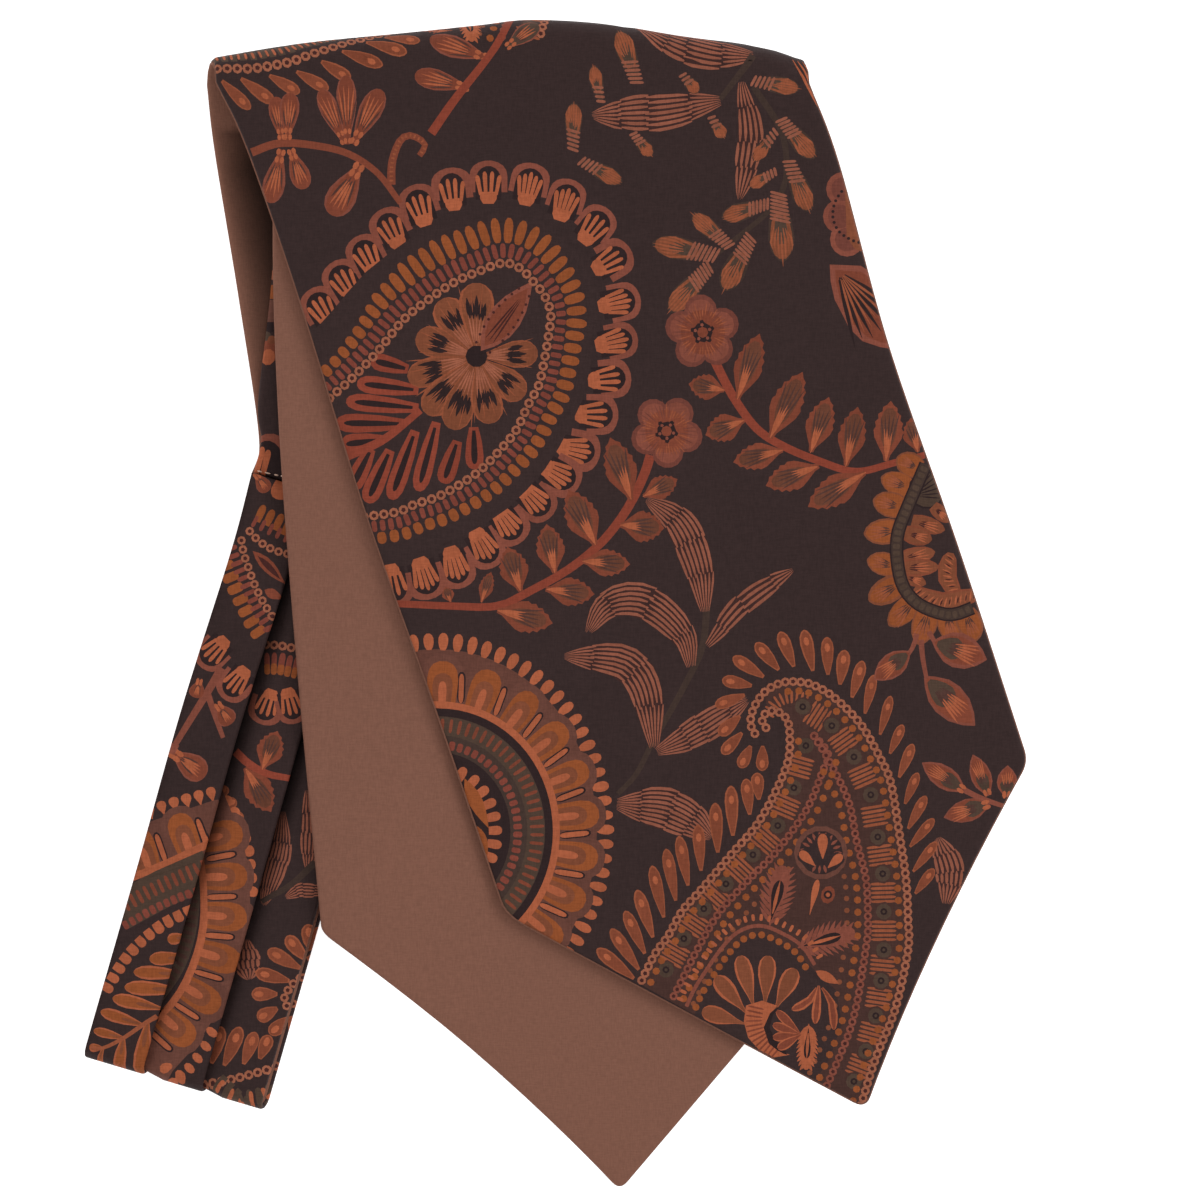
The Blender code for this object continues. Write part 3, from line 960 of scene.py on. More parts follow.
def make_cloth(name, lay, outline, inks, face, reverse, ground=GROUND, lines=(), roll=ROLL, shade=None):
    """A closed thin sheet. face and reverse are the heights of its two sides above where it lies."""
    inks = touching(inks, outline)
    insets = [grown(outline, -amount) for amount in ROLL_STEPS if roll]
    front = cut(outline, [ink.outline for ink in inks], GRID_STEP, [*insets, *lines])
    rim = front.points[front.loop]
    back = cut(rim, [], REVERSE_STEP, lines)
    order = {tuple(np.round(point, 3)): number for number, point in enumerate(back.points)}
    back_loop = [order[tuple(np.round(point, 3))] for point in rim]

    sign = 1 if face > reverse else -1
    edge_level = sign * SEAM_LEVEL if roll else 0.0
    front_at, front_normal = lie(lay, front.points)
    back_at, back_normal = lie(lay, back.points)
    rise = fall = 1.0
    if roll:
        near = np.clip(edge_distance(front.points, outline) / roll, 0, 1)
        rise = np.sqrt(1 - (1 - near) ** 2)[:, None]
        fall = np.clip(edge_distance(back.points, outline) / roll, 0, 1)[:, None]
    top = front_at + front_normal * (edge_level + (face - edge_level) * rise)
    under = back_at + back_normal * (edge_level * 0.5 + (reverse - edge_level * 0.5) * fall)
    shift = len(top)
    outward = [t if sign > 0 else t[::-1] for t in front.triangles.tolist()]
    inward = [t[::-1] if sign > 0 else t for t in (back.triangles + shift).tolist()]
    wall = []
    for a, b, c, d in zip(front.loop, np.roll(front.loop, -1), np.roll(back_loop, -1), back_loop):
        quad = [int(a), int(d) + shift, int(c) + shift, int(b)]
        wall.append(quad if sign > 0 else quad[::-1])
    mesh = bpy.data.meshes.new(name)
    mesh.from_pydata((np.vstack([top, under]) * MM).tolist(), [], [*outward, *inward, *wall])
    mesh.shade_smooth()

    corners = np.zeros(len(mesh.loops), int)
    mesh.loops.foreach_get("vertex_index", corners)
    light = np.ones(len(top) + len(under))
    # Painted shade: a shade function darkens the colour at every corner it covers.
    if shade:
        light = np.concatenate([shade(front.points, top), shade(back.points, under)])
    paint(mesh, corners, inks, front.inks, ground, light)
    unwrap(mesh, corners, outline, front, back)
    piece = bpy.data.objects.new(name, mesh)
    bpy.context.scene.collection.objects.link(piece)
    print(name, len(inks), "inks,", len(mesh.polygons), "faces")
    return piece


def flat_size(outline, direction):
    """Width and length in metres of the smallest box along a direction, and the area in it."""
    ahead = unit(direction)
    across, along = outline @ left_of(ahead), outline @ ahead
    x, y = outline.T
    area = abs(np.sum(x * np.roll(y, -1) - y * np.roll(x, -1))) / 2
    return np.ptp(across) * MM, np.ptp(along) * MM, area * MM * MM

# %% [markdown]
# ## The great drop
# The print's main figure is a drop ringed by a chain of beads, with short bars and open hands
# fanned round it. A large flower and the loops of a frond fill its inside.

# %% Great drop
DROP_CHAIN = spots(
    -67.1, 55.4, -64.0, 58.6, -58.0, 64.0, -50.6, 71.7, -43.2, 80.8, -35.8, 86.8, -28.6, 91.6,
    -22.1, 94.5, -15.0, 97.0, -10.1, 95.6, -6.4, 91.9, -3.0, 87.6, -1.3, 82.5, -1.9, 76.5, -3.0, 70.0,
    -4.7, 62.3, -7.6, 56.9, -11.0, 49.7, -15.0, 44.6, -20.7, 38.6, -26.1, 34.6, -33.2, 30.6, -39.8, 28.4,
    -44.3, 26.4, -51.4, 25.2, -55.7, 24.7,
)
PALMS = pairs(
    -66.0, 83.4, -67.7, 86.2, -59.7, 91.1, -61.4, 93.9, -53.2, 98.2, -54.6, 101.0,
    -46.3, 105.9, -47.7, 108.7, -38.3, 112.4, -39.2, 115.3, -29.2, 117.0, -29.5, 119.8,
    -19.0, 119.0, -19.0, 121.8, -7.6, 118.4, -7.0, 121.3, 2.7, 113.9, 3.6, 116.7,
    10.7, 106.7, 12.7, 109.3, 15.2, 97.3, 18.1, 99.0, 17.2, 85.6, 20.1, 86.2, 16.4, 74.5, 19.2, 75.1,
    14.4, 64.0, 17.2, 64.3, 10.7, 54.0, 13.5, 54.0, 5.6, 44.0, 8.4, 43.5, 0.4, 37.2, 3.0, 35.8,
    -6.4, 30.1, -4.4, 28.1, -14.1, 23.5, -12.4, 21.2, -20.7, 17.0, -19.2, 14.4, -28.6, 11.5, -27.8, 8.7,
    -37.2, 8.4, -36.3, 5.6, -46.0, 6.4, -45.5, 3.6,
)
FLOWER = (-22.4, 70.5)
FLOWER_PETALS = (
    ((-32.6, 86.5), 4.56), ((-22.4, 91.3), 4.84), ((-39.5, 76.2), 4.27), ((-41.8, 64.0), 4.27),
    ((-36.9, 54.3), 4.27), ((-29.5, 49.7), 4.56), ((-18.1, 51.4), 4.56), ((-9.0, 58.9), 4.27),
    ((-5.0, 71.4), 3.99),
)
FROND_LOOPS = pairs(
    -41.8, 66.8, -52.3, 69.4, -38.9, 60.8, -56.3, 62.8, -38.9, 55.7, -59.4, 57.7,
    -42.9, 51.2, -62.3, 51.4, -48.9, 46.6, -60.8, 45.2, -46.9, 43.7, -53.4, 28.9,
    -39.8, 49.2, -46.6, 29.8, -33.8, 51.7, -38.9, 32.1, -27.8, 46.3, -31.8, 34.3,
    -23.2, 50.3, -22.9, 38.3, -52.3, 44.0, -58.0, 32.6,
)
BAR_ENDS = (7.98, 8.55, 10.26, 13.39, 13.39, 12.54, 10.26, 9.69, 9.40, 8.83, 8.55, 8.26, 8.26)
BAR_STARTS = np.array([4.27, 5.13, 5.70, 5.98, 5.98, 5.70, 4.56, 4.84, 4.84, 4.84, 4.84, 4.84, 4.84])


def great_drop():
    """The beaded drop with its palms, bars, flower and frond."""
    for centre, aim in PALMS:
        palm(centre, aim)
    edge = list(zip(np.linspace(0, 1, 30), [1.2] * 10 + [1.02] * 5 + [0.92] * 15))
    stroke(DROP_CHAIN, 13.68, edge, GROUND)
    rungs(DROP_CHAIN, 3.59, BAR_STARTS, BAR_ENDS, 1.31, PEBBLE, OCHRE)
    rungs(DROP_CHAIN, 2.39, 1.42, BAR_STARTS * 0.96, 0.74, CAPSULE, DEEP_RED)
    for base, tip in FROND_LOOPS:
        loop_leaf(base, tip, 2.62)
    stalk(((-59.7, 41.8), (-48.9, 46.6), (-38.3, 55.1)), 1.42)
    for tip, half in FLOWER_PETALS:
        edged((FLOWER, tip), half, PETAL, PETAL_EDGE, TAN, 0.88)
        fan(FLOWER, tip, 0.17, 0.5, 0.79, 5, 0.68, BLACK)
        fan(FLOWER, tip, 0.2, 0.18, 0.56, 5, 0.26, PALE)
        fan(FLOWER, tip, 0.26, 0.62, 0.93, 4, 0.17, PETAL_EDGE)
    dot(FLOWER, 3.13, BLACK, 10)
    stroke(((-21.2, 72.0), (-6.4, 91.9)), 4.70, POINTED, RIM)
    stroke(((-20.1, 73.4), (-7.8, 89.9)), 3.70, POINTED, LEAF)
    across = np.array([-0.8, 0.6])
    foot, top, tip = spots(-18.7, 75.1, -10.1, 86.5, -6.7, 91.6)
    for shift in (-1.28, 0, 1.28):
        stroke((foot + across * shift, top + across * shift * 0.3), 0.28, STREAK, HOLE)
    for along in np.linspace(0.12, 0.86, 9):
        spot = np.array(FLOWER) * (1 - along) + tip * along
        aside = across * 3.56 * math.sin(math.pi * (along * 0.8 + 0.14))
        dot(spot + aside, 0.46, HOLE, 5)
        dot(spot - aside, 0.46, HOLE, 5)
    chain(DROP_CHAIN, 1.40, 2.85)

# %% [markdown]
# ## Sprigs and fine leaves
# Leafy stems, barred leaves and small roses fill the space between the large figures.

# %% Top of the print
FRINGE_TOP = pairs(
    -94.5, 148.6, -86.5, 140.6, -89.1, 149.2, -79.7, 142.4, -81.1, 150.1, -72.5, 145.2,
    -73.4, 151.2, -64.3, 146.1, -66.3, 153.8, -58.0, 149.2, -60.3, 156.6, -48.9, 152.9,
    -53.2, 159.5, -42.0, 156.3, -47.7, 161.5, -38.0, 159.7,
)
TOP_CHAIN = spots(
    -102.7, 151.8, -97.0, 151.8, -91.6, 151.8, -85.9, 151.8, -80.2, 152.6, -74.5, 153.8, -69.1, 155.8,
    -64.0, 157.5, -58.6, 159.5, -53.4, 161.2, -47.2, 163.7, -42.0, 167.2, -37.2, 172.3,
)
BARRED_LEAVES = pairs(
    23.2, 147.8, 18.1, 162.9, 13.0, 142.6, 10.7, 152.9, 5.0, 129.0, 5.3, 142.6, 7.3, 126.1, 19.0, 119.8,
    36.1, 150.3, 40.6, 145.2, 22.1, 133.8, 27.5, 127.3, 56.0, 148.6, 69.4, 146.3,
    44.3, 138.4, 48.0, 132.4, 62.6, 134.4, 56.3, 125.8, 64.0, 137.8, 73.7, 126.7,
    66.3, 126.1, 72.2, 111.6, 62.6, 123.0, 55.1, 118.7, 60.6, 113.9, 47.2, 109.9, 63.4, 117.0, 64.6, 97.3,
    49.7, 101.6, 38.9, 111.0, 46.0, 99.0, 27.5, 102.7, 55.7, 104.5, 47.7, 89.1, 44.0, 96.2, 32.3, 83.1,
)
TOP_LEAVES = sized(
    -77.7, 132.1, -79.4, 144.1, 2.56, -76.0, 132.1, -75.1, 145.2, 2.85, -77.7, 129.2, -81.1, 114.1, 3.13,
    -75.1, 129.2, -71.1, 118.1, 2.99, -59.7, 130.7, -66.5, 146.1, 2.56, -58.9, 130.7, -59.4, 150.1, 2.71,
    -57.4, 130.7, -49.4, 146.1, 3.28, -55.4, 125.0, -63.7, 110.7, 3.99, -24.4, 146.6, -39.8, 150.3, 3.13,
    -19.0, 154.9, -35.2, 160.3, 3.13,
)


def top_motifs():
    """The beaded border and the sprig at the left of the top fold, the fine leaves at its right."""
    rungs(TOP_CHAIN, 2.56, 2.28, 9.69, 1.08, TONGUE, OLIVE)
    rungs(TOP_CHAIN, 1.99, 2.85, 5.70, 0.37, CAPSULE, CORAL)
    fringe(FRINGE_TOP, 1.82)
    chain(TOP_CHAIN, 1.42, 2.85)
    curl = spots(-46.6, 119.3, -46.3, 125.8, -44.0, 131.8, -40.9, 133.2, -36.9, 130.7, -38.6, 127.5)
    arch = spots(-86.2, 128.4, -78.5, 131.0, -68.5, 130.4, -58.9, 128.1, -50.6, 122.7, -44.0, 114.1)
    for line in (arch, curl):
        stalk(line, 1.20, LEAF)
    rungs(curl, 1.28, -0.51, 0.51, 0.26, CAPSULE, PETAL_EDGE)
    for base, tip, half in TOP_LEAVES:
        bud_leaf(base, tip, half)
    bud_leaf((-13.8, 158.0), (-4.4, 164.6), 2.56, OLIVE)
    stalk(((-35.2, 133.8), (-28.6, 143.2), (-19.5, 154.6), (-13.8, 162.9), (-10.1, 170.9)), 1.25)
    striped_leaf(((46.9, 142.9), (29.8, 139.8), (10.4, 138.9)), 5.13, 7)
    striped_leaf(((52.9, 148.3), (55.4, 132.4), (52.3, 115.0)), 3.42, 5)
    striped_leaf(((56.3, 155.2), (44.3, 156.6), (33.2, 160.3), (24.1, 166.6)), 5.13, 7)
    for shift in (0, 1.42, 2.85):
        fold = np.array([(67.7, 154.6), (71.4, 147.2), (76.0, 138.7)]) + (shift, -shift * 0.2)
        stroke(fold, 0.37, STREAK, CORAL)
    stalk(((56.3, 155.5), (52.0, 150.1), (46.9, 143.5)), 1.03, DARK_OLIVE)
    stalk(((56.3, 146.9), (64.8, 132.4), (63.4, 115.3), (46.0, 99.6)), 0.91, DARK_OLIVE)
    for base, tip in BARRED_LEAVES:
        barred_leaf(base, tip, max(2.14, 0.21 * math.dist(base, tip)))


# %% Rose stems
STEM_ONE = spots(
    44.3, 71.4, 46.3, 67.1, 50.9, 58.6, 57.4, 50.0, 65.4, 44.9, 75.1, 40.9, 85.6, 37.8, 96.2, 40.3,
    105.3, 42.6,
)
STEM_TWO = spots(
    26.9, 42.6, 26.1, 39.5, 22.1, 30.4, 17.2, 22.7, 11.3, 16.1, 2.7, 9.5, -7.6, 3.8, -16.7, -0.4,
    -29.8, -0.4, -42.3, 0.1, -50.0, 0.4,
)
STEM_LEAVES = sized(
    51.7, 58.6, 58.0, 77.1, 3.99, 61.1, 47.5, 70.3, 66.3, 4.27, 72.8, 43.5, 77.9, 59.1, 3.99,
    82.8, 39.5, 86.2, 56.3, 3.99, 94.2, 40.9, 95.6, 58.0, 3.99, 103.3, 43.5, 101.3, 53.2, 3.42,
    48.0, 61.1, 37.8, 62.8, 3.42, 53.7, 52.6, 42.6, 48.3, 3.70, 64.8, 44.0, 50.6, 40.6, 3.70,
    75.1, 39.5, 60.0, 33.8, 3.99, 88.2, 37.5, 72.0, 27.8, 4.27, 21.5, 29.8, 15.5, 47.5, 4.56,
    24.9, 30.9, 34.6, 35.8, 3.42, 11.3, 17.0, 3.6, 32.6, 4.56, -0.4, 9.0, -2.7, 22.9, 3.99,
    -10.1, 3.8, -13.8, 16.4, 3.99, -21.2, 0.7, -18.4, 9.3, 1.99, -29.8, 0.7, -31.2, 5.0, 1.71,
    18.4, 22.7, 30.9, 21.8, 4.27, 7.6, 12.4, 21.2, 11.5, 3.99, -3.0, 4.4, 11.0, 3.0, 3.99,
    -16.7, -1.6, -1.0, -5.3, 4.27,
)


def rose_stems():
    """Two roses and the leafy stems that run from them."""
    stalk(STEM_ONE, 1.31)
    stalk(STEM_TWO, 1.42)
    for base, tip, half in STEM_LEAVES:
        veined_leaf(base, tip, half)
    rose((41.8, 77.4), 10.54, 0.4)
    rose((31.5, 49.4), 10.26, 1.0)

# %% [markdown]
# ## Striped leaves and the half medallion
# Long curved leaves are drawn with many fine lines, each broken in places. Under them the print has
# a round medallion of tongues and dashes, which the blade's edge cuts in half.

# %% Striped leaves
LEAF_STALK = spots(
    43.2, -0.4, 41.8, -12.4, 36.6, -23.5, 30.6, -34.3, 26.9, -40.9, 22.9, -48.6, 17.8, -54.0,
)
LONG_LEAVES = (
    (((42.6, -2.1), (40.6, 11.5), (35.2, 23.5), (25.8, 30.1)), 4.56, 7),
    (((43.2, -11.8), (54.0, 0.7), (67.7, 9.8)), 2.85, 4),
    (((38.6, -17.8), (36.1, -8.1), (25.8, 0.7), (15.0, 0.1), (9.0, -8.1)), 4.84, 7),
    (((28.1, -40.9), (25.8, -24.4), (20.4, -17.0), (11.0, -15.2), (2.4, -14.7)), 4.84, 7),
    (((28.9, -42.0), (38.3, -37.5), (46.9, -32.1), (54.9, -27.2)), 4.27, 7),
    (((17.5, -56.9), (24.1, -57.4), (31.5, -58.3), (38.3, -61.4), (44.6, -66.5)), 5.98, 9),
    (((111.3, -85.4), (112.4, -76.2), (109.0, -66.5)), 3.99, 6),
)


def long_leaves():
    """The stem of long striped leaves."""
    stalk(LEAF_STALK, 0.97, DARK_OLIVE)
    for leaf, half, stripes in LONG_LEAVES:
        striped_leaf(leaf, half, stripes)


# %% Half medallion
MEDAL = (-33.5, -64.8)
MEDAL_RINGS = (
    (34.77, 37.33, CORAL), (32.77, 35.34, BLACK), (30.49, 33.06, OLIVE), (25.36, 27.64, DARK_OLIVE),
    (20.52, 22.80, BLACK),
)
MEDAL_SEEDS = (
    ((-26.1, -49.4), (-19.2, -63.7), 1.85, OCHRE),
    ((-22.4, -63.1), (-19.5, -71.4), 1.31, OCHRE),
    ((-29.5, -55.7), (-22.1, -70.0), 1.71, OCHRE),
    ((-28.4, -70.0), (-20.9, -73.4), 1.25, TAN),
)


def medal_ring(across, up, first=-180.0, last=175.0, steps=72):
    """Spots of an oval round the medallion's centre, between two angles in degrees."""
    turn = np.radians(np.linspace(first, last, steps))
    return [(MEDAL[0] + across * math.cos(a), MEDAL[1] + up * math.sin(a)) for a in turn]


def medal_line(across, up):
    """The same oval as a line that the rings of petals and dashes stand on, clockwise."""
    return medal_ring(across, up, -100.0, 130.0, 14)[::-1]


def tongues(line, pitch):
    """Rounded tongues side by side on a line, each in a halo, with a bright bar between them."""
    at, ahead, left = lane(line, pitch)
    between = at + ahead * pitch / 2
    for place, out in zip(at, left):
        stroke((place, place + out * 13.68), 5.98, TONGUE, MAUVE)
    for start, out in zip(between, left):
        stroke((start, start + out * 8.83), 1.14, CAPSULE, BLACK)
    for place, start, out in zip(at, between, left):
        for reach, half, ink in ((11.68, 4.13, OCHRE), (8.26, 2.71, TAN), (5.98, 1.14, CORAL)):
            stroke((place - out * 0.57, place + out * reach), half, TONGUE, ink)
        stroke((start, start + out * 8.26), 0.74, CAPSULE, CORAL)


def half_medallion():
    """Rings of petals, tongues, dashes and leaves round one centre."""
    fill(medal_ring(45.31, 52.15), MAUVE)
    rungs(medal_line(45.60, 52.15), 4.13, -0.28, 4.56, 1.37, OVAL, CORAL)
    tongues(medal_line(34.48, 37.05), 10.54)
    for across, up, ink in MEDAL_RINGS:
        fill(medal_ring(across, up), ink)
    rungs(medal_line(26.22, 28.50), 2.42, 0.00, 3.99, 0.48, CAPSULE, LEAF)
    rungs(medal_line(21.37, 23.65), 2.28, 0.00, 2.56, 0.80, CAPSULE, DEEP_RED)
    rungs(medal_line(14.25, 16.24), 3.85, 0.00, 3.99, 1.37, TONGUE, CORAL)
    for base, tip, half, ink in MEDAL_SEEDS:
        stroke((base, tip), half, POINTED, ink)

# %% [markdown]
# ## The curled drop
# Low on the blade a great curled drop fills the point, with two strings of beads, a fringe of
# petals and small feathery leaves and fruits inside it.

# %% Border of the curled drop
CURL_OUT = spots(
    57.4, -37.8, 55.7, -34.3, 56.3, -30.1, 59.4, -25.2, 64.3, -22.4, 69.4, -22.1, 74.0, -23.2,
    79.9, -26.9, 87.1, -34.3, 92.5, -43.7, 95.6, -50.9, 97.9, -64.6, 99.9, -78.2, 100.5, -89.9,
    100.5, -98.5, 96.8, -115.6, 91.3, -129.5, 86.8, -144.1,
)
CURL_IN = spots(
    60.6, -36.1, 58.9, -32.9, 60.6, -30.6, 63.4, -30.6, 66.0, -32.9, 66.8, -37.2, 66.3, -44.6,
    62.6, -53.7, 57.4, -62.8, 50.3, -71.1, 41.2, -81.7, 36.1, -87.4, 32.1, -94.5, 28.4, -99.6,
    24.1, -108.2,
)
SECOND_IN = spots(
    73.1, -36.6, 77.7, -42.6, 76.0, -48.0, 71.7, -58.3, 63.4, -70.0, 55.7, -77.9, 46.9, -87.6,
    41.2, -97.0, 36.1, -107.0, 33.2, -112.7,
)
SECOND_OUT = spots(
    73.1, -36.6, 78.2, -44.9, 83.6, -56.3, 85.9, -67.7, 88.5, -78.2, 89.1, -89.9, 88.5, -97.9,
    84.8, -118.4, 78.5, -134.7, 74.0, -144.1,
)
OLIVE_DOTS = spots(
    70.5, -29.2, 78.8, -34.6, 85.1, -43.5, 89.9, -54.3, 91.9, -66.3, 93.3, -76.8, 93.6, -87.6,
    93.6, -98.5, 92.8, -107.3, 91.3, -117.3, 88.5, -127.5, 85.1, -136.1, 71.4, -40.3, 68.0, -52.3,
    63.4, -63.1, 56.3, -71.4, 48.6, -79.7, 42.3, -86.8, 36.6, -95.3, 31.5, -104.2,
)
CURL_FRINGE = pairs(
    56.0, -23.2, 47.5, -21.5, 59.4, -20.7, 50.6, -15.0, 63.7, -18.7, 57.1, -11.0, 68.0, -17.8, 64.0, -7.8,
    73.4, -19.0, 70.8, -7.3, 77.7, -20.1, 77.4, -9.3, 81.1, -22.9, 82.5, -13.0, 84.5, -26.6, 87.6, -16.1,
    88.2, -31.2, 90.8, -20.1, 92.5, -37.2, 95.6, -26.1, 95.3, -42.6, 99.0, -34.3,
    97.9, -49.4, 101.9, -39.8, 99.6, -56.9, 103.3, -48.0, 100.5, -64.0, 105.6, -54.6,
    101.0, -69.1, 107.9, -61.1, 101.9, -76.2, 108.7, -67.7, 102.5, -82.5, 107.9, -75.4,
    54.0, -25.8, 45.5, -28.9, 52.6, -31.8, 46.6, -37.2, 53.2, -36.6, 47.5, -42.6,
    55.7, -40.3, 52.6, -46.6, 59.1, -40.3, 58.9, -47.5, 58.0, -55.7, 57.4, -48.0,
    55.4, -60.0, 54.3, -49.7, 50.6, -66.0, 50.0, -51.7, 46.3, -70.8, 45.5, -56.6,
    41.5, -76.0, 40.6, -62.8, 37.8, -80.2, 35.2, -66.0, 34.3, -84.5, 31.5, -69.7,
    30.9, -89.3, 27.5, -74.5, 27.8, -95.0, 23.2, -81.4, 25.5, -99.6, 19.8, -87.4,
    23.8, -104.2, 15.8, -92.5, 22.4, -106.7, 11.8, -98.2,
)
DARK_HEART = spots(
    39.5, -117.3, 41.8, -111.0, 45.2, -105.6, 49.4, -99.6, 53.4, -95.6, 58.3, -94.2, 63.7, -96.2,
    68.5, -99.3, 73.1, -103.6, 79.9, -109.9, 81.7, -119.6, 77.7, -130.4, 71.4, -139.5, 58.3, -135.5,
    45.7, -127.0,
)
CURL_ROWS = (
    (SECOND_IN[1:], 2.85, 1.08, OCHRE), (SECOND_OUT[1:], -2.85, 1.08, OCHRE),
    (CURL_OUT[4:], -2.56, 1.08, OCHRE), (CURL_IN[5:], 2.56, 1.08, OCHRE),
    (SECOND_IN[4:], 5.98, 0.80, TAN), (SECOND_OUT[3:], -5.98, 0.80, TAN),
)
DOT_LAYERS = ((2.85, FIELD, 9), (2.28, OLIVE, 10), (1.03, BLACK, 8), (0.46, OLIVE, 6))


def between_dots(dots):
    """Short bars across the border, halfway between each two of its dots."""
    for before, after in zip(dots[:-1], dots[1:]):
        onward = unit(after - before)
        out = left_of(onward)
        for shift in (-2.51, -1.25, 0, 1.25, 2.51):
            place = (before + after) / 2 + onward * shift
            stroke((place - out * 3.56, place + out * 3.56), 0.40, CAPSULE, PETAL_EDGE)


def curl_border():
    """The curled drop's fringe, its ground, and the beads, dots and bars of its border."""
    fringe([*CURL_FRINGE[:8], *CURL_FRINGE[17:]], 1.88)
    fringe(CURL_FRINGE[8:17], 1.51)
    fill(np.vstack([smooth_line(CURL_OUT[3:], 50), smooth_line(CURL_IN[2:], 50)[::-1]]), FIELD)
    fill(DARK_HEART, GROUND)
    between_dots(OLIVE_DOTS[:12])
    between_dots(OLIVE_DOTS[12:])
    rungs(CURL_OUT[2:7], 1.42, -6.27, -2.56, 0.34, CAPSULE, PETAL_EDGE)
    for spot in OLIVE_DOTS:
        for layer in DOT_LAYERS:
            dot(spot, *layer)
    chain(SECOND_IN, 1.20, 2.17, RIM)
    chain(SECOND_OUT, 1.20, 2.17, RIM)
    chain(CURL_OUT, 1.31, 2.22)
    chain(CURL_IN, 1.31, 2.22)
    for line, away, size, ink in CURL_ROWS:
        dotted(line, 3.56, away, size, ink, 7)


# %% Fruits and feathery leaves
DROP_FRUITS = sized(
    76.2, -72.5, 76.2, -65.4, 1.42, 74.0, -74.5, 69.7, -70.5, 1.31, 77.7, -75.1, 81.7, -71.4, 1.31,
)


def feather(base, tip, half, ink=RIM):
    """A small feathery leaf: a midrib with barbs on both sides and a bright streak."""
    base, way = ends(base, tip)
    aside = left_of(way) / np.linalg.norm(way)
    stroke((base, tip), half * 0.5, PETAL, ink)
    for share in np.linspace(0.04, 0.8, 9):
        spread = half * math.sin(math.pi * (0.25 + share * 0.7))
        for side in (-1, 1):
            end = base + way * (share + 0.22) + aside * side * spread
            stroke((base + way * share, end), 0.57, STREAK, ink)
    stroke((base + way * 0.1, base + way * 0.75), half * 0.3, PETAL, BLACK)
    stroke((base + way * 0.2, base + way * 0.75), 0.48, STREAK, CORAL)


def curl_fruits():
    """The ring of fruits high in the curled drop, the seed under it and the feathery leaves."""
    halo = np.array((75.7, -70.8))
    dot(halo, 7.69, MAUVE, 14)
    dot(halo, 6.27, GROUND, 14)
    for turn in np.linspace(0, 2 * math.pi, 19, endpoint=False):
        out = np.array([math.cos(turn), math.sin(turn)])
        stroke((halo + out * 3.70, halo + out * 5.98), 0.43, STREAK, RIM)
    for base, tip, half in DROP_FRUITS:
        stroke((base, tip), half * 1.5, CAPSULE, GROUND)
        stroke((base, tip), half, DROP, CORAL)
    stroke(((72.5, -88.5), (74.8, -78.5)), 0.91, PETAL, CORAL)
    dot((77.7, -82.8), 1.99, LEAF, 9, (0.3, 1), 1.3)
    dot((77.7, -82.8), 1.28, BLACK, 8)
    dot((77.7, -82.8), 0.68, CORAL, 6)
    feather((61.1, -91.6), (65.1, -74.5), 5.13)
    feather((69.1, -97.9), (85.4, -93.3), 4.84)
    feather((72.2, -119.6), (71.4, -132.7), 3.13, CORAL)
    stroke(((74.2, -104.5), (80.8, -108.2)), 1.42, POINTED, CORAL)


# %% Open flower in the curled drop
FAN_DROPS = pairs(
    56.6, -115.0, 52.6, -100.2, 59.7, -114.4, 60.6, -100.2, 62.6, -115.6, 68.3, -103.9,
    54.6, -116.7, 45.7, -106.2, 54.0, -119.6, 41.8, -115.9,
)
CUP = spots(
    54.3, -114.4, 58.9, -113.0, 63.1, -114.4, 61.1, -117.3, 60.3, -121.0, 61.1, -124.7, 63.7, -127.3,
    66.8, -128.4, 62.3, -129.2, 58.0, -127.0, 54.9, -123.5, 53.7, -119.0,
)
DOT_ARCH = spots(
    39.5, -116.1, 41.8, -111.0, 45.2, -105.6, 49.4, -99.6, 53.4, -95.6, 58.3, -94.2, 63.7, -96.2,
    68.5, -99.3, 72.0, -104.5,
)
HEART_DROPS = ((63.1, -115.9), (62.0, -119.8), (62.0, -123.5), (63.4, -126.7))
HEART_LEAVES = (
    ((74.5, -109.3), (72.0, -113.3), (67.4, -115.6)),
    ((76.0, -109.3), (78.8, -113.9), (79.4, -121.3)),
    ((75.1, -108.7), (74.0, -119.6)),
)


def curl_flower():
    """The open flower low in the curled drop, its cup, its arch of dots and its leaves."""
    for base, tip in FAN_DROPS:
        edged((base, tip), 2.56, PETAL, CORAL, TAN, 0.76)
    fill(CUP, CORAL)
    stump = spots(57.4, -113.9, 56.6, -119.0, 58.3, -124.1, 63.4, -128.7)
    rungs(stump, 1.25, -2.42, 2.42, 0.26, CAPSULE, LEAF)
    stroke(((63.4, -115.0), (60.6, -118.4), (60.8, -123.5), (66.0, -128.4)), 1.03, SPINDLE, BLACK)
    dotted(DOT_ARCH, 2.62, 0, 1.03, OCHRE, 9)
    rungs(DOT_ARCH, 1.00, 1.99, 3.13, 0.63, CAPSULE, RIM)
    rungs(DOT_ARCH, 2.28, 3.99, 5.98, 0.46, CAPSULE, CORAL)
    for tip in HEART_DROPS:
        stroke(((70.0, -122.7), tip), 1.37, DROP, CORAL)
        stroke(((70.0, -122.7), tip), 0.97, DROP, LEAF)
    for line in HEART_LEAVES:
        stroke(line, 1.25, SLIM, CORAL)
        stroke(line, 0.68, SLIM, LEAF)

# %% [markdown]
# ## The right edge
# The edge of the blade cuts through a sunflower, a rose and a leaf, and small buds hang beside them.

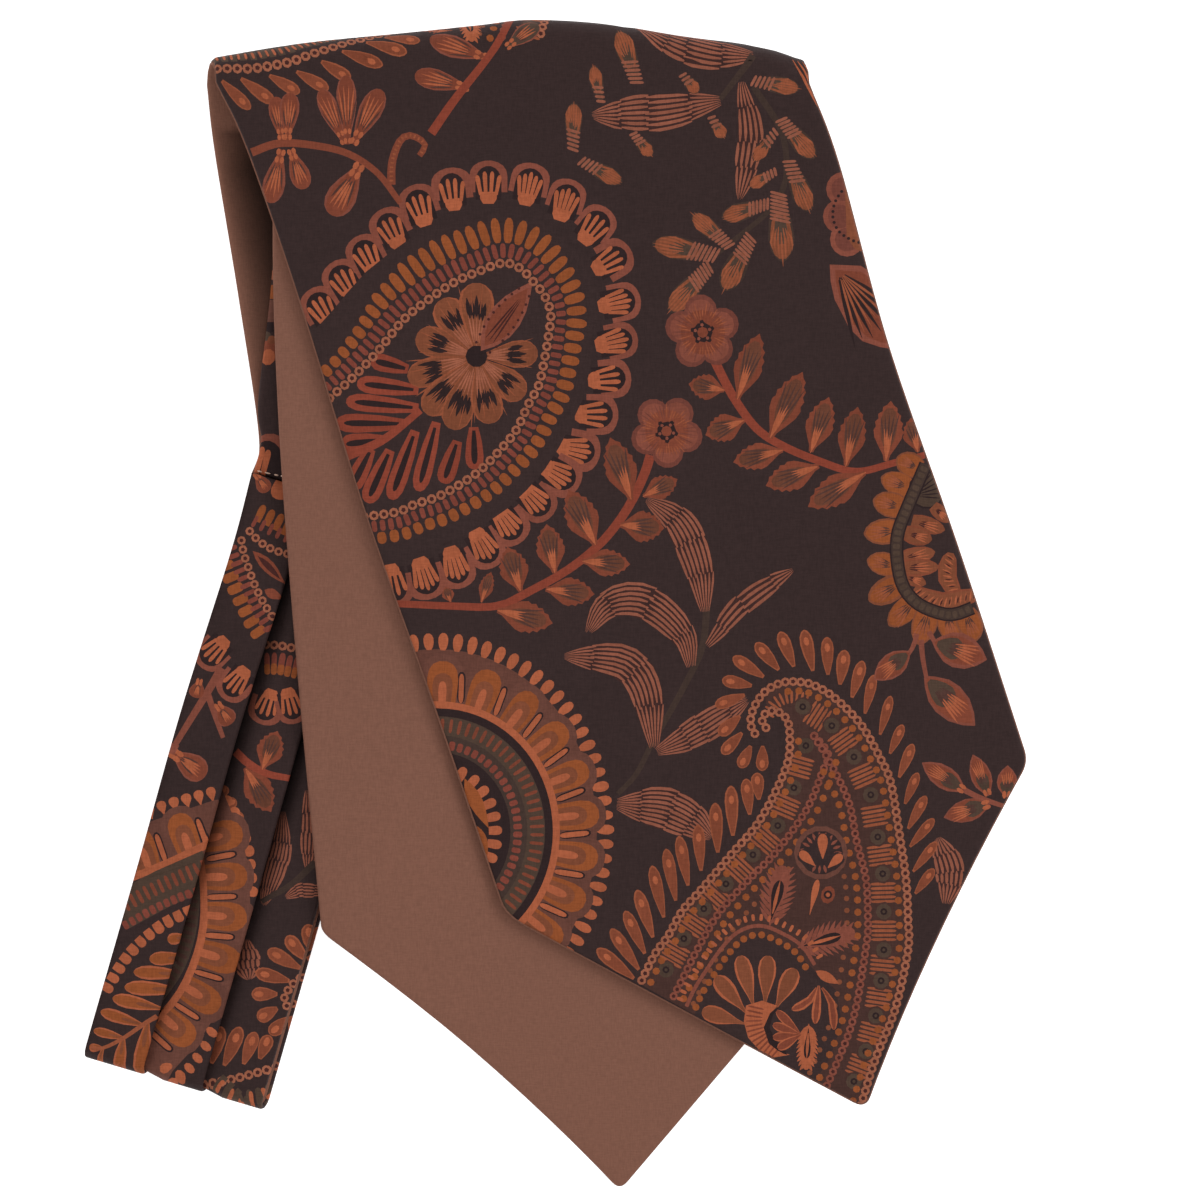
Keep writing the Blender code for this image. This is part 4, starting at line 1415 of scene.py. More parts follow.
# %% Sunflower
SUN_RING = spots(
    105.6, 40.0, 99.9, 26.6, 97.6, 20.4, 97.3, 13.5, 98.8, 5.8, 102.5, 0.7, 108.2, -2.1, 113.3, -3.0,
    119.0, -1.0,
)
SUN_OUTER = pairs(
    103.9, 38.3, 97.3, 42.0, 101.3, 32.9, 92.8, 36.3, 99.3, 27.5, 90.5, 29.8, 97.9, 21.2, 87.9, 20.1,
    97.3, 10.7, 88.8, 12.7, 98.5, 6.1, 89.3, 1.0, 102.7, 1.3, 95.0, -6.1, 106.7, -1.0, 103.3, -11.5,
    111.6, -1.9, 113.3, -10.7, 116.7, -1.9, 120.1, -10.4,
)
SUN_INNER = sized(
    107.6, 28.1, 112.4, 23.5, 1.99, 101.6, 23.8, 111.0, 21.2, 2.56, 99.6, 20.4, 107.3, 18.4, 2.56,
    99.3, 8.1, 105.6, 5.8, 1.99, 98.2, 12.7, 108.2, 15.0, 2.56, 98.5, 10.4, 109.3, 10.7, 2.56,
)
SUN_CRESCENT = (
    ((114.7, 1.9), (111.6, 8.1), (112.7, 14.7)), ((102.2, 4.4), (109.6, 0.7), (121.0, 3.0)),
)


def sunflower():
    """The part of a round flower that the right edge cuts through."""
    for base, tip in SUN_OUTER:
        stroke((base, tip), 3.53, LOBE, TAN)
        stroke((base, base * 0.06 + tip * 0.94), 3.08, LOBE, OCHRE)
        fan(base, tip, 0.26, 0.24, 0.64, 4, 0.26, SHADE)
        fan(base, tip, 0.24, 0.4, 0.84, 5, 0.26, PETAL_EDGE)
    dot((105.9, 32.6), 5.41, BLACK, 14)
    dot((105.9, 32.6), 4.84, OLIVE, 14)
    fan((101.6, 30.9), (111.3, 34.9), 0.5, 0.2, 0.85, 6, 0.23, BLACK)
    for base, tip, half in SUN_INNER:
        edged((base, tip), half, LOBE, PETAL_RED, TAN)
        fan(base, tip, 0.18, 0.25, 0.6, 3, 0.23, HOLE)
        fan(base, tip, 0.18, 0.4, 0.8, 4, 0.23, CORAL)
    half = 2.71
    for spine in SUN_CRESCENT:
        edged(spine, half, OVAL, PETAL_RED, TAN)
        rungs(spine, 1.42, -half * 0.55, half * 0.5, 0.26, STREAK, CORAL, 0.4)
        rungs(spine, 2.28, -half * 0.4, half * 0.3, 0.23, STREAK, HOLE, 0.4)
    stroke(SUN_RING, 1.94, level(30), BLACK)
    stroke(SUN_RING, 1.48, level(30), DARK_OLIVE)
    rungs(SUN_RING, 1.99, -1.03, 1.03, 0.71, CAPSULE, OLIVE)


# %% Buds, leaf and rose at the edge
SUN_BUDS = sized(
    101.0, -13.5, 90.8, -21.5, 3.42, 107.6, -10.7, 123.0, -15.8, 4.84, 105.3, -20.7, 119.6, -34.6, 5.13,
    116.7, -53.2, 104.5, -45.2, 3.13, 123.5, -54.6, 119.0, -42.9, 2.85, 123.8, -56.9, 110.7, -60.8, 3.42,
    128.7, -55.1, 129.0, -46.0, 3.13,
)
SUN_STALKS = (
    (((103.0, -8.4), (102.2, -11.5), (100.5, -14.4)), 0.74),
    (((106.4, -7.8), (108.7, -11.8)), 0.74),
    (((104.2, -10.1), (104.7, -15.5), (105.9, -21.8)), 0.80),
    (((115.9, -52.6), (120.4, -54.9), (127.3, -57.4), (131.2, -58.0)), 0.85),
)
EDGE_ROSE = spots(81.7, 118.1, 80.8, 110.4, 82.8, 103.9)
EDGE_LEAF = spots(
    77.9, 96.8, 86.8, 96.5, 98.2, 89.6, 98.2, 72.5, 92.5, 73.4, 87.4, 75.1, 83.6, 78.8, 81.4, 83.1,
    79.4, 86.8, 78.2, 91.9,
)
EDGE_LEAF_IN = spots(
    79.4, 95.3, 86.8, 94.8, 97.0, 88.5, 97.0, 74.2, 92.5, 74.8, 88.5, 76.5, 84.8, 79.9, 82.8, 83.9,
    80.8, 87.6, 79.7, 91.9,
)


def right_edge():
    """The hanging buds under the sunflower, and the leaf and the rose higher up."""
    for line, half in SUN_STALKS:
        stalk(line, half, RIM)
    for base, tip, half in SUN_BUDS:
        hanging_bud(base, tip, half)
    for base, tip, half in SUN_BUDS[3:]:
        neck_grains(base, tip, half, 0.08, 0.22, 1.9)
    fill(EDGE_LEAF, RIM)
    fill(EDGE_LEAF_IN, LEAF)
    fan((79.9, 95.3), (94.2, 76.0), 0.42, 0.12, 0.92, 7, 0.63, BLACK)
    fan((80.5, 94.8), (93.6, 76.5), 0.36, 0.1, 0.8, 6, 0.34, PETAL_EDGE)
    for radius, ink, sides in ((4.84, RIM, 16), (3.42, DUSK, 14)):
        for spot in EDGE_ROSE:
            dot(spot, radius, ink, sides)
    stroke(((86.8, 122.7), (83.9, 111.3), (87.9, 101.0)), 3.13, CAPSULE, TAN)
    arc = spots(81.7, 118.1, 79.4, 114.4, 78.8, 110.2, 80.5, 106.2, 84.5, 103.6, 88.5, 102.7)
    dotted(arc, 1.57, 0, 0.48, BLACK, 6)

# %% [markdown]
# ## The print, laid out
# The figures repeat up the cloth, so that the print runs on over the top fold and down the back. A
# narrow strip of blade B shows beside the stitch, and its few figures are drawn where they are seen.

# %% Lay out the print
REPEAT = (-95.0, 292.0)
LOWER_REPEAT = (20.0, -10.0)
FOLD_MARGIN = 1.0


def moved(inks, right, up, flip=False):
    """The same inks in another place, mirrored left to right if need be."""
    turn = -1 if flip else 1
    return [polygon(ink.outline * (turn, 1) + (right, up), ink.colour) for ink in inks]


def past_fold(inks, fold):
    """Only the inks that lie beyond the top fold, on the bend and the back."""
    kept = []
    for ink in inks:
        start = np.interp(ink.outline @ fold.chord, fold.along, fold.start)
        kept += [ink] if (ink.outline @ fold.outward - start).min() > FOLD_MARGIN else []
    return kept


def seen_strip():
    """The strip of blade B's print that shows above the stitch."""
    fill(((-91.1, 101.0), (-72.8, 101.0), (-69.4, 34.9), (-91.1, 34.9)), GROUND)
    stroke(((-81.1, 33.8), (-81.4, 48.6)), 6.27, ARCH, RIM)
    stroke(((-81.9, 34.3), (-82.2, 46.6)), 4.27, ARCH, BLACK)
    stroke(((-85.4, 36.6), (-83.4, 44.9)), 1.03, FINGER, CORAL)
    stroke(((-83.6, 36.1), (-81.7, 44.0)), 0.97, FINGER, CORAL)
    dot((-81.9, 72.5), 3.13, LEAF, 12, (0.1, 1), 1.3)
    dot((-81.9, 70.5), 1.99, CORAL, 10, (0.3, 1), 1.2)
    dot((-81.4, 79.1), 1.71, BLACK)
    dot((-82.5, 76.5), 1.42, OLIVE)
    dot((-80.8, 75.4), 1.28, TAN)
    stroke(((-81.1, 86.8), (-81.4, 80.5)), 2.56, CAPSULE, MAUVE)
    stroke(((-80.8, 91.1), (-81.1, 87.1)), 2.28, CAPSULE, OCHRE)
    dot((-80.5, 93.9), 1.42, PALE)


FIGURES = drawn(
    half_medallion, long_leaves, great_drop, top_motifs, rose_stems,
    curl_border, curl_fruits, curl_flower, sunflower, right_edge,
)
PRINT_A = past_fold(moved(FIGURES, *REPEAT), FOLD_A) + FIGURES
PRINT_B = moved(FIGURES, *REPEAT, True) + moved(FIGURES, *LOWER_REPEAT, True)
PRINT_B += [polygon(unroll_back(FOLD_B, ink.outline), ink.colour) for ink in drawn(seen_strip)]
print(len(FIGURES), "inks to a repeat,", sum(len(ink.outline) for ink in FIGURES), "corners")

# %% [markdown]
# ## The blades
# Each blade is a printed shell and a plain lining, back to back. The real ones are sewn together
# along their edge and turned. The long soft swells that silk keeps after folding are added to the
# height of both together, so the cloths never touch. The lining of blade A's back is seen inside
# the open fold, where less and less light reaches it, so it is painted darker from its edge in.

# %% Lay the blades
SWELL = 0.3
FACE = 1.0
REVERSE = 0.55
LINING_GROWTH = 0.4
LIGHT_LINES = (2.0, 4.0, 6.0, 8.5, 11.0, 14.0)
LIGHT_REACH = spots(50, 9, 87, 8, 100, 6.3, 115, 5.6, 124, 4.6, 131, 6.5, 135, 6, 136, 50, 170, 50)


def swell(points):
    """The gentle waves of silk that has been folded and laid down again."""
    x, y = points[:, 0], points[:, 1]
    slow = np.sin(x * 0.041 + y * 0.017 + 0.6) * np.sin(y * 0.029 - x * 0.012 + 1.9)
    quick = np.sin(x * 0.083 - y * 0.061 + 0.4) * np.sin(y * 0.071 + x * 0.034)
    return SWELL * (0.75 * slow + 0.25 * quick)


def lay_blade(fold):
    """A function that carries the flat points of a blade to their place."""

    def lay(points):
        placed = roll(fold, points)
        placed[:, 2] += swell(placed[:, :2]) * (points @ fold.outward < fold.start.mean())
        return placed

    return lay


def fold_light(flat, placed):
    """How much light gets to the back's lining inside the open fold, from its left edge in."""
    edge = FOLD_A.left[np.argsort(FOLD_A.left[:, 1])]
    inside = np.maximum(placed[:, 0] - np.interp(placed[:, 1], edge[:, 1], edge[:, 0]), 0)
    reach = np.interp(placed[:, 1], *LIGHT_REACH.T)
    past = flat @ FOLD_A.outward - np.interp(flat @ FOLD_A.chord, FOLD_A.along, FOLD_A.start)
    return np.where(past > FOLD_A.radius.mean() * math.pi / 2, np.exp(-inside / reach), 1.0)


lay_a, lay_b = lay_blade(FOLD_A), lay_blade(FOLD_B)
light_lines = [unroll_back(FOLD_A, FOLD_A.left[3:-1] + (inside, 0.0)) for inside in LIGHT_LINES]
shell_a = make_cloth("blade_A_shell", lay_a, OUTLINE_A, PRINT_A, FACE, REVERSE)
lining_a = make_cloth(
    "blade_A_lining", lay_a, grown(OUTLINE_A, LINING_GROWTH), [], -FACE, -REVERSE, LINING,
    lines=light_lines, shade=fold_light,
)
lining_b = make_cloth("blade_B_lining", lay_b, OUTLINE_B, [], FACE, REVERSE, LINING)
shell_b = make_cloth("blade_B_shell", lay_b, OUTLINE_B, PRINT_B, -FACE, -REVERSE)

# %% [markdown]
# ## The neckband
# Three knife pleats fold the cloth in three between the stitch and its lower fold, and the whole
# band is then folded back on itself. The flat cloth is carried over the zig-zag of the pleats and
# along the band.

# %% Shape of the pleats
PLEAT_WIDTH = BAND_WIDTH / PLEATS
PLEAT_STEP = CLOTH + SEAM_GAP
TURN_RADIUS = PLEAT_STEP / 2
TURN_STEPS = 5
CLIMB_START = -0.2
CLIMB_END = 5.5
UNDERLAY_START = 5.2
BAND_STEPS = 60


def turn_points(centre_x, centre_h, side):
    """The middle of a cloth as it turns down through half a circle, to the right (1) or left (-1)."""
    angles = np.linspace(math.pi / 2, -math.pi / 2, TURN_STEPS + 1)
    across = centre_x + side * TURN_RADIUS * np.cos(angles)
    return list(zip(across, centre_h + TURN_RADIUS * np.sin(angles)))


def pleat_section():
    """The middle line of the pleated cloth across the neckband, and where on it each pleat starts."""
    low = SEAM_GAP / 2 + CLOTH / 2
    middle, top = low + PLEAT_STEP, low + 2 * PLEAT_STEP
    reach = TURN_RADIUS + CLOTH / 2
    line = [(0.0, top)]
    tops = [0]
    for number in range(PLEATS):
        end = (number + 1) * PLEAT_WIDTH
        hidden = end - PLEAT_WIDTH + (UNDERLAY_START if number else reach)
        line += turn_points(end - reach, (top + middle) / 2, 1)
        line += turn_points(hidden, (middle + low) / 2, -1)
        if number < PLEATS - 1:
            line += [(end + CLIMB_START, low), (end + CLIMB_END, top)]
            tops.append(len(line) - 1)
        else:
            line.append((end - reach, low))
    return np.array(line), tops


SECTION, PLEAT_TOPS = pleat_section()
SECTION_RUN = running(SECTION)
BAND_LINE = smooth_line(BAND_LEFT, BAND_STEPS)
BAND_RUN = np.linspace(0, line_length(BAND_LINE), BAND_STEPS + 1)
BAND_DOWN = -left_of(BAND_ACROSS)
BAND_LONG = line_length(BAND_LINE) - BAND_HALF
BAND_TURN = math.pi * BAND_HALF / 2
CUT_WIDE = SECTION_RUN[-1]
CUT_LONG = 2 * BAND_LONG + BAND_TURN
print("neckband cut", round(CUT_WIDE), "x", round(CUT_LONG), "mm")

# %% Lay the neckband
BAND_PEEK = 1.6
BAND_FACE = 0.4
BAND_FLAT = 0.55
GAPE = 2.4
GAPE_PLACES = (0, 24, 38, 62, 84, 120, 158, 165)
GAPE_SHARES = (
    (0, 0, 1, 1, 0.7, 0.35, 0.05, 0),
    (0, 0, 0, 0, 0.8, 0.5, 0.08, 0),
    (0, 0, 0, 0, 0, 0, 0, 0),
)


def lay_band(points):
    """The neckband, from the flat to its place. Flat x runs over the pleats, flat y along the band."""
    across, height = look_up(points[:, 0], SECTION_RUN, SECTION).T
    past = points[:, 1] - BAND_LONG
    turn = np.clip(past / BAND_TURN, 0, 1) * math.pi
    returned = BAND_LONG - (past - BAND_TURN)
    along = np.where(past > BAND_TURN, returned, np.minimum(points[:, 1], BAND_LONG))
    low, top = SECTION[:, 1].min(), SECTION[:, 1].max()
    pleat = np.clip(np.ceil(across / PLEAT_WIDTH - 1e-4).astype(int), 1, PLEATS)
    gapes = [np.interp(points[:, 1], GAPE_PLACES, shares) for shares in GAPE_SHARES]
    within = np.clip(across / PLEAT_WIDTH - pleat + 1, 0, 1)
    upper = np.clip((height - (low + top) / 2) / (top - low) * 2, 0, 1)
    lift = GAPE * np.choose(pleat - 1, gapes) * within**3 * upper
    peek = BAND_PEEK * (1 - np.cos(turn)) / 2
    plan = look_up(along, BAND_RUN, BAND_LINE) + (across + peek)[:, None] * BAND_ACROSS
    fold = top + (height - top) * (1 - BAND_FLAT)
    plan = plan + (fold * np.sin(turn))[:, None] * BAND_DOWN
    return np.column_stack([plan, BAND_HALF + lift + height * np.cos(turn)])

# %% [markdown]
# ## The neckband's print
# The pleats hide most of the print, and each shows its own strip of it. The inks are drawn where
# they are seen, trimmed to their pleat and carried back to the flat cloth. Low on the first pleat
# stands a palmette of slim leaves, and beside it the medallion of tongues goes on.

# %% First pleat
BAND_LEAVES = sized(
    -105.3, -94.5, -110.4, -95.6, 1.54, -105.0, -100.5, -115.6, -101.0, 1.94,
    -105.9, -105.3, -120.1, -104.7, 1.82, -107.0, -109.9, -122.7, -109.0, 1.94,
    -112.7, -115.0, -126.1, -112.1, 1.88, -117.6, -119.8, -129.5, -115.9, 1.65,
    -123.0, -123.5, -131.5, -121.3, 1.31, -128.7, -126.4, -132.7, -125.8, 0.85,
    -116.1, -119.0, -118.7, -133.2, 1.99, -123.0, -123.5, -124.7, -133.0, 1.71,
    -128.7, -126.4, -130.7, -130.4, 0.85,
)


def pleat_one():
    """What shows of the print on the first pleat."""
    palm((-96.8, -13.0), (-99.6, -15.8), 0.9)
    palm((-90.5, -21.8), (-93.1, -25.2), 0.9)
    rungs(((-86.8, 24.4), (-81.9, 22.1), (-75.7, 19.0)), 2.56, 0.00, 5.13, 1.14, TONGUE, OCHRE)
    rungs(((-87.9, 22.9), (-82.5, 20.1), (-75.7, 17.0)), 2.28, 0.00, 3.42, 0.57, CAPSULE, DEEP_RED)
    side = ((-90.5, 18.4), (-87.1, 9.5), (-82.5, -0.4), (-78.5, -6.7))
    rungs(side, 3.42, -7.98, -3.42, 1.31, CAPSULE, OCHRE)
    rungs(side, 2.28, -4.27, -0.85, 0.66, CAPSULE, DEEP_RED)
    chain(((-87.9, 21.8), (-84.5, 18.1), (-80.2, 15.5), (-75.1, 14.1)), 1.25, 2.45)
    beads = spots(-89.6, 19.5, -88.8, 14.7, -87.1, 9.5, -85.1, 4.4, -82.5, -0.4, -78.5, -6.7)
    chain(beads, 1.25, 2.56)
    stroke(((-86.2, 15.2), (-81.9, 11.0), (-77.1, 5.8)), 1.85, POINTED, LEAF)
    stroke(((-84.8, 13.8), (-81.9, 11.0), (-78.2, 7.0)), 0.85, POINTED, HOLE)
    stroke(((-82.8, 4.1), (-77.9, 1.6)), 1.42, POINTED, LEAF)
    bud_leaf((-85.4, 37.2), (-81.9, 32.1), 2.28)
    stroke(((-78.2, 37.8), (-78.2, 29.8)), 2.85, PETAL, CORAL)
    stalk(((-95.0, -18.1), (-99.0, -24.9), (-103.3, -31.8), (-108.2, -39.8)), 1.25, RIM)
    stalk(((-99.0, -25.5), (-96.8, -31.8), (-94.5, -38.0)), 0.91, RIM)
    bud_leaf((-101.3, -21.5), (-102.5, -26.6), 2.28)
    bud_leaf((-96.2, -28.4), (-92.2, -34.1), 2.85)
    bud_leaf((-109.3, -42.0), (-99.6, -48.9), 3.99)
    stalk(((-108.2, -39.8), (-109.3, -42.6)), 1.14, RIM)
    rungs(((-117.0, -62.0), (-108.2, -59.1), (-95.0, -55.7)), 3.56, 0.00, 4.27, 1.42, PETAL, CORAL)
    stroke(((-120.4, -71.4), (-109.9, -66.5), (-93.9, -62.6)), 7.41, level(2), MAUVE)
    tongues(((-121.8, -77.1), (-111.3, -73.4), (-97.9, -68.5)), 10.26)
    stroke(((-120.7, -77.9), (-109.9, -73.4), (-97.9, -67.7)), 1.03, level(3), CORAL)
    stroke(((-124.1, -87.6), (-112.7, -81.4), (-98.5, -75.1)), 5.70, level(3), OLIVE)
    rungs(((-123.5, -86.5), (-112.7, -80.8), (-98.5, -74.5)), 2.28, -1.71, 2.56, 0.54, CAPSULE, LEAF)
    rungs(((-124.7, -90.5), (-113.3, -84.2), (-99.6, -78.5)), 2.28, -3.13, -0.57, 0.80, CAPSULE, DEEP_RED)
    fan_edge = ((-128.7, -111.0), (-121.3, -99.6), (-112.7, -91.9), (-102.5, -86.5))
    rungs(fan_edge, 3.31, 1.71, -1.71, 1.34, TONGUE, CORAL)
    for reach, share, ink in ((1, 1.1, CORAL), (1, 0.78, OCHRE), (0.5, 0.3, TAN)):
        for base, tip, half in BAND_LEAVES:
            stroke((base, base * (1 - reach) + tip * reach), half * share, SLIM, ink)
    midrib = ((-113.6, -117.3), (-117.6, -119.8), (-123.0, -123.5), (-129.0, -126.4), (-132.4, -125.8))
    stalk(midrib, 0.68, PETAL_EDGE)


# %% Second and third pleat
BAND_HALO = spots(
    -100.2, -55.7, -94.5, -70.0, -92.8, -85.6, -96.2, -102.7, -104.7, -118.4,
    -113.3, -128.7, -121.8, -137.2,
)
MAUVE_PETALS = spots(
    -97.9, -121.8, -99.6, -125.8, -101.9, -129.2, -104.2, -132.1, -106.7, -134.1, -109.6, -136.4,
    -112.7, -138.4,
)
BAND_TONGUES = spots(
    -101.9, -62.0, -99.9, -70.5, -99.3, -84.2, -100.7, -97.0, -105.3, -108.4, -115.6, -121.3,
)
BAND_RIM = spots(
    -101.9, -67.1, -100.2, -80.2, -100.2, -91.9, -103.0, -102.7, -108.7, -113.3, -118.4, -122.4,
)
BAND_PETALS = pairs(
    -71.1, -101.3, -76.5, -94.5, -69.7, -99.3, -70.5, -91.1, -72.8, -103.6, -81.9, -98.5,
    -75.7, -107.3, -85.4, -104.7, -79.1, -111.0, -86.5, -111.0, -79.1, -115.0, -84.8, -118.1,
    -75.7, -117.6, -81.4, -122.4, -97.9, -131.0, -95.0, -120.4, -94.2, -131.5, -89.6, -120.4,
    -88.8, -131.0, -85.4, -121.8, -84.2, -129.5, -81.4, -122.7,
)


def pleat_two():
    """What shows of the print on the second pleat."""
    palm((-81.9, -28.4), (-83.1, -31.8), 0.85)
    palm((-75.4, -28.1), (-74.5, -31.5), 0.85)
    arch = ((-83.6, -13.0), (-78.5, -13.0), (-71.7, -14.4))
    rungs(arch, 1.99, -6.84, -0.85, 0.80, CAPSULE, DEEP_RED)
    rungs(arch, 1.99, -7.12, -3.99, 0.85, CAPSULE, OCHRE)
    chain(((-83.6, -11.5), (-78.5, -11.8), (-71.7, -13.0)), 1.31, 2.56)
    stalk(((-91.1, -42.0), (-87.1, -45.5), (-81.9, -48.3), (-74.5, -49.7)), 1.25)
    veined_leaf((-83.4, -46.9), (-79.1, -36.1), 3.70)
    veined_leaf((-88.2, -46.6), (-80.8, -59.1), 3.99)
    small = pairs(-95.6, -55.7, -93.9, -51.7, -94.8, -58.6, -90.8, -55.7, -93.3, -62.0, -88.8, -60.0)
    fringe(small, 1.71)
    petals = ((-97.3, -55.7), (-92.2, -64.8), (-89.9, -74.5), (-89.6, -84.2))
    rungs(petals, 3.99, 0.00, 4.84, 1.54, PETAL, CORAL)
    stroke(BAND_HALO, 6.27, level(16), MAUVE)
    for spot in MAUVE_PETALS:
        dot(spot, 1.20, CORAL, 9, (0.7, -0.7), 1.5)
    tongues(BAND_TONGUES, 11.40)
    stroke(BAND_RIM, 1.08, level(16), CORAL)
    dark = ((-107.0, -70.0), (-104.7, -80.2), (-105.3, -91.9), (-108.7, -102.7), (-115.6, -112.7))
    stroke(dark, 3.42, level(16), OLIVE)
    dashes = ((-107.0, -70.0), (-104.2, -80.2), (-104.7, -91.9), (-108.2, -102.7), (-115.0, -112.7))
    rungs(dashes, 2.28, -1.71, 2.28, 0.57, CAPSULE, SHADE)


def pleat_three():
    """What shows of the print on the third pleat."""
    striped_leaf(((-77.7, -59.1), (-78.5, -70.0), (-83.1, -85.9)), 3.42, 7)
    striped_leaf(((-70.3, -52.9), (-69.7, -64.3), (-70.5, -76.2)), 2.56, 5)
    striped_leaf(((-76.8, -83.4), (-72.2, -81.4), (-65.4, -81.9)), 1.99, 5)
    striped_leaf(((-88.2, -95.6), (-88.2, -100.7), (-87.1, -107.0)), 3.99, 6)
    stalk(((-68.3, -73.4), (-75.1, -79.7), (-83.6, -84.8)), 0.97, DARK_OLIVE)
    fringe(BAND_PETALS, 2.11)
    curl = spots(-72.0, -105.6, -74.8, -108.2, -77.1, -111.6, -76.2, -114.7, -73.4, -113.6)
    chain(curl, 1.25, 2.39)
    border = ((-99.9, -138.9), (-89.9, -137.2), (-78.5, -133.8))
    rungs(border, 2.56, -6.84, -1.71, 1.03, TONGUE, OLIVE)
    rungs(border, 3.42, -5.70, -2.28, 0.57, CAPSULE, CORAL)
    chain(((-101.3, -137.2), (-90.5, -134.9), (-78.5, -131.5)), 1.37, 2.56)

# %% [markdown]
# ## The neckband, cut and laid
# The same print shows on the band's lower half, mirrored at its fold. The mesh gets a crease line
# along every turn of the pleats, so that they stay crisp. Where one pleat dips under the last, shade
# is painted into the cloth's colour.

# %% Cut and lay the neckband
FOLD_CREASES = 7
# The painted shade between the pleats: where along the band it fades, how dark it gets and how fast it
# lifts.
DIP_PLACES = (0, 30, 75)
DIP_SHARES = (0.15, 0.5, 1)
DIP_DARKEST = 0.88
DIP_FALL = 1.6
DIP_START = 1.0


def pleat_inks(inks, number):
    """Inks drawn where they are seen on one pleat, taken back to the flat cloth."""
    down = BAND_LINE @ BAND_DOWN
    first = PLEAT_TOPS[number] - (1 if number else 0)
    window = slice(first, PLEAT_TOPS[number] + 2)
    flat = []
    for ink in inks:
        reach = ink.outline @ BAND_DOWN
        along = np.interp(reach, down, BAND_RUN) + reach - np.clip(reach, down[0], down[-1])
        across = (ink.outline - look_up(along, BAND_RUN, BAND_LINE)) @ BAND_ACROSS
        inner = np.clip(across, *SECTION[window, 0][[0, -1]])
        shown = np.interp(inner, SECTION[window, 0], SECTION_RUN[window]) + across - inner
        flat.append(polygon(np.column_stack([shown, along]), ink.colour))
    return flat


def pleat_light(flat, placed):
    """Painted shade between two pleats, where one dips under the last: how much light the colour keeps.
    """
    light = np.ones(len(flat))
    fade = np.interp(np.abs(flat[:, 1] - BAND_LONG - BAND_TURN / 2), DIP_PLACES, DIP_SHARES)
    for top in PLEAT_TOPS[1:]:
        start, end = SECTION_RUN[top - 1 : top + 1]
        climb = np.clip((flat[:, 0] - start) / (end - start), 0, 1)
        dimmed = light * (1 - fade * DIP_DARKEST * (1 - climb) ** DIP_FALL)
        light = np.where(flat[:, 0] > start - DIP_START, dimmed, light)
    return light


print_band = []
for number, drawing in enumerate((pleat_one, pleat_two, pleat_three)):
    print_band += pleat_inks(drawn(drawing), number)
print_band += moved([Ink(ink.outline * (1, -1), ink.colour) for ink in print_band], 0, CUT_LONG)
creases = [dense(spots(run, 0, run, CUT_LONG), EDGE_STEP) for run in SECTION_RUN[1:-1]]
turn_lines = BAND_LONG + np.linspace(0, BAND_TURN, FOLD_CREASES)
creases += [spots(0, along, CUT_WIDE, along) for along in turn_lines]
BAND_CUT = dense(spots(0, 0, CUT_WIDE, 0, CUT_WIDE, CUT_LONG, 0, CUT_LONG, 0, 0), EDGE_STEP)[:-1]
band = make_cloth(
    "neckband_cloth", lay_band, BAND_CUT, print_band, -BAND_FACE, BAND_FACE,
    lines=creases, roll=0, shade=pleat_light,
)

# %% [markdown]
# ## Finishes
# Both cloths are dull silk. The printed one takes its colour from the inks stored on the mesh. Each
# thread is a little uneven, which gives a fine grain of lighter and darker lines both ways. The
# weave is a node group, so both finishes share it at their own strengths.

# %% Weave
THREADS = 2600.0
SLUB = 450.0
GRAIN_LOW = 0.7
GRAIN_HIGH = 1.3


def weave_group():
    """Value and height of a plain weave with uneven threads, from a position in metres."""
    group = bpy.data.node_groups.new("weave", "ShaderNodeTree")
    group.interface.new_socket("Place", in_out="INPUT", socket_type="NodeSocketVector")
    group.interface.new_socket("Grain", in_out="OUTPUT", socket_type="NodeSocketFloat")
    nodes, links = group.nodes, group.links
    start, end = nodes.new("NodeGroupInput"), nodes.new("NodeGroupOutput")
    yarns = []
    for scale in ((SLUB, THREADS, SLUB), (THREADS, SLUB, SLUB)):
        stretch = nodes.new("ShaderNodeVectorMath")
        stretch.operation = "MULTIPLY"
        stretch.inputs[1].default_value = scale
        links.new(start.outputs["Place"], stretch.inputs[0])
        noise = nodes.new("ShaderNodeTexNoise")
        noise.inputs["Scale"].default_value = 1.0
        noise.inputs["Detail"].default_value = 1.5
        links.new(stretch.outputs[0], noise.inputs["Vector"])
        yarns.append(noise)
    both = nodes.new("ShaderNodeMath")
    both.operation = "ADD"
    links.new(yarns[0].outputs["Fac"], both.inputs[0])
    links.new(yarns[1].outputs["Fac"], both.inputs[1])
    spread = nodes.new("ShaderNodeMapRange")
    spread.inputs["From Min"].default_value = GRAIN_LOW
    spread.inputs["From Max"].default_value = GRAIN_HIGH
    links.new(both.outputs[0], spread.inputs["Value"])
    links.new(spread.outputs["Result"], end.inputs["Grain"])
    return group


WEAVE = weave_group()

# %% Printed silk and plain lining
Cloth = namedtuple("Cloth", "roughness dim bright bump")
THREAD_RELIEF = 0.0002
SHEEN = 0.08


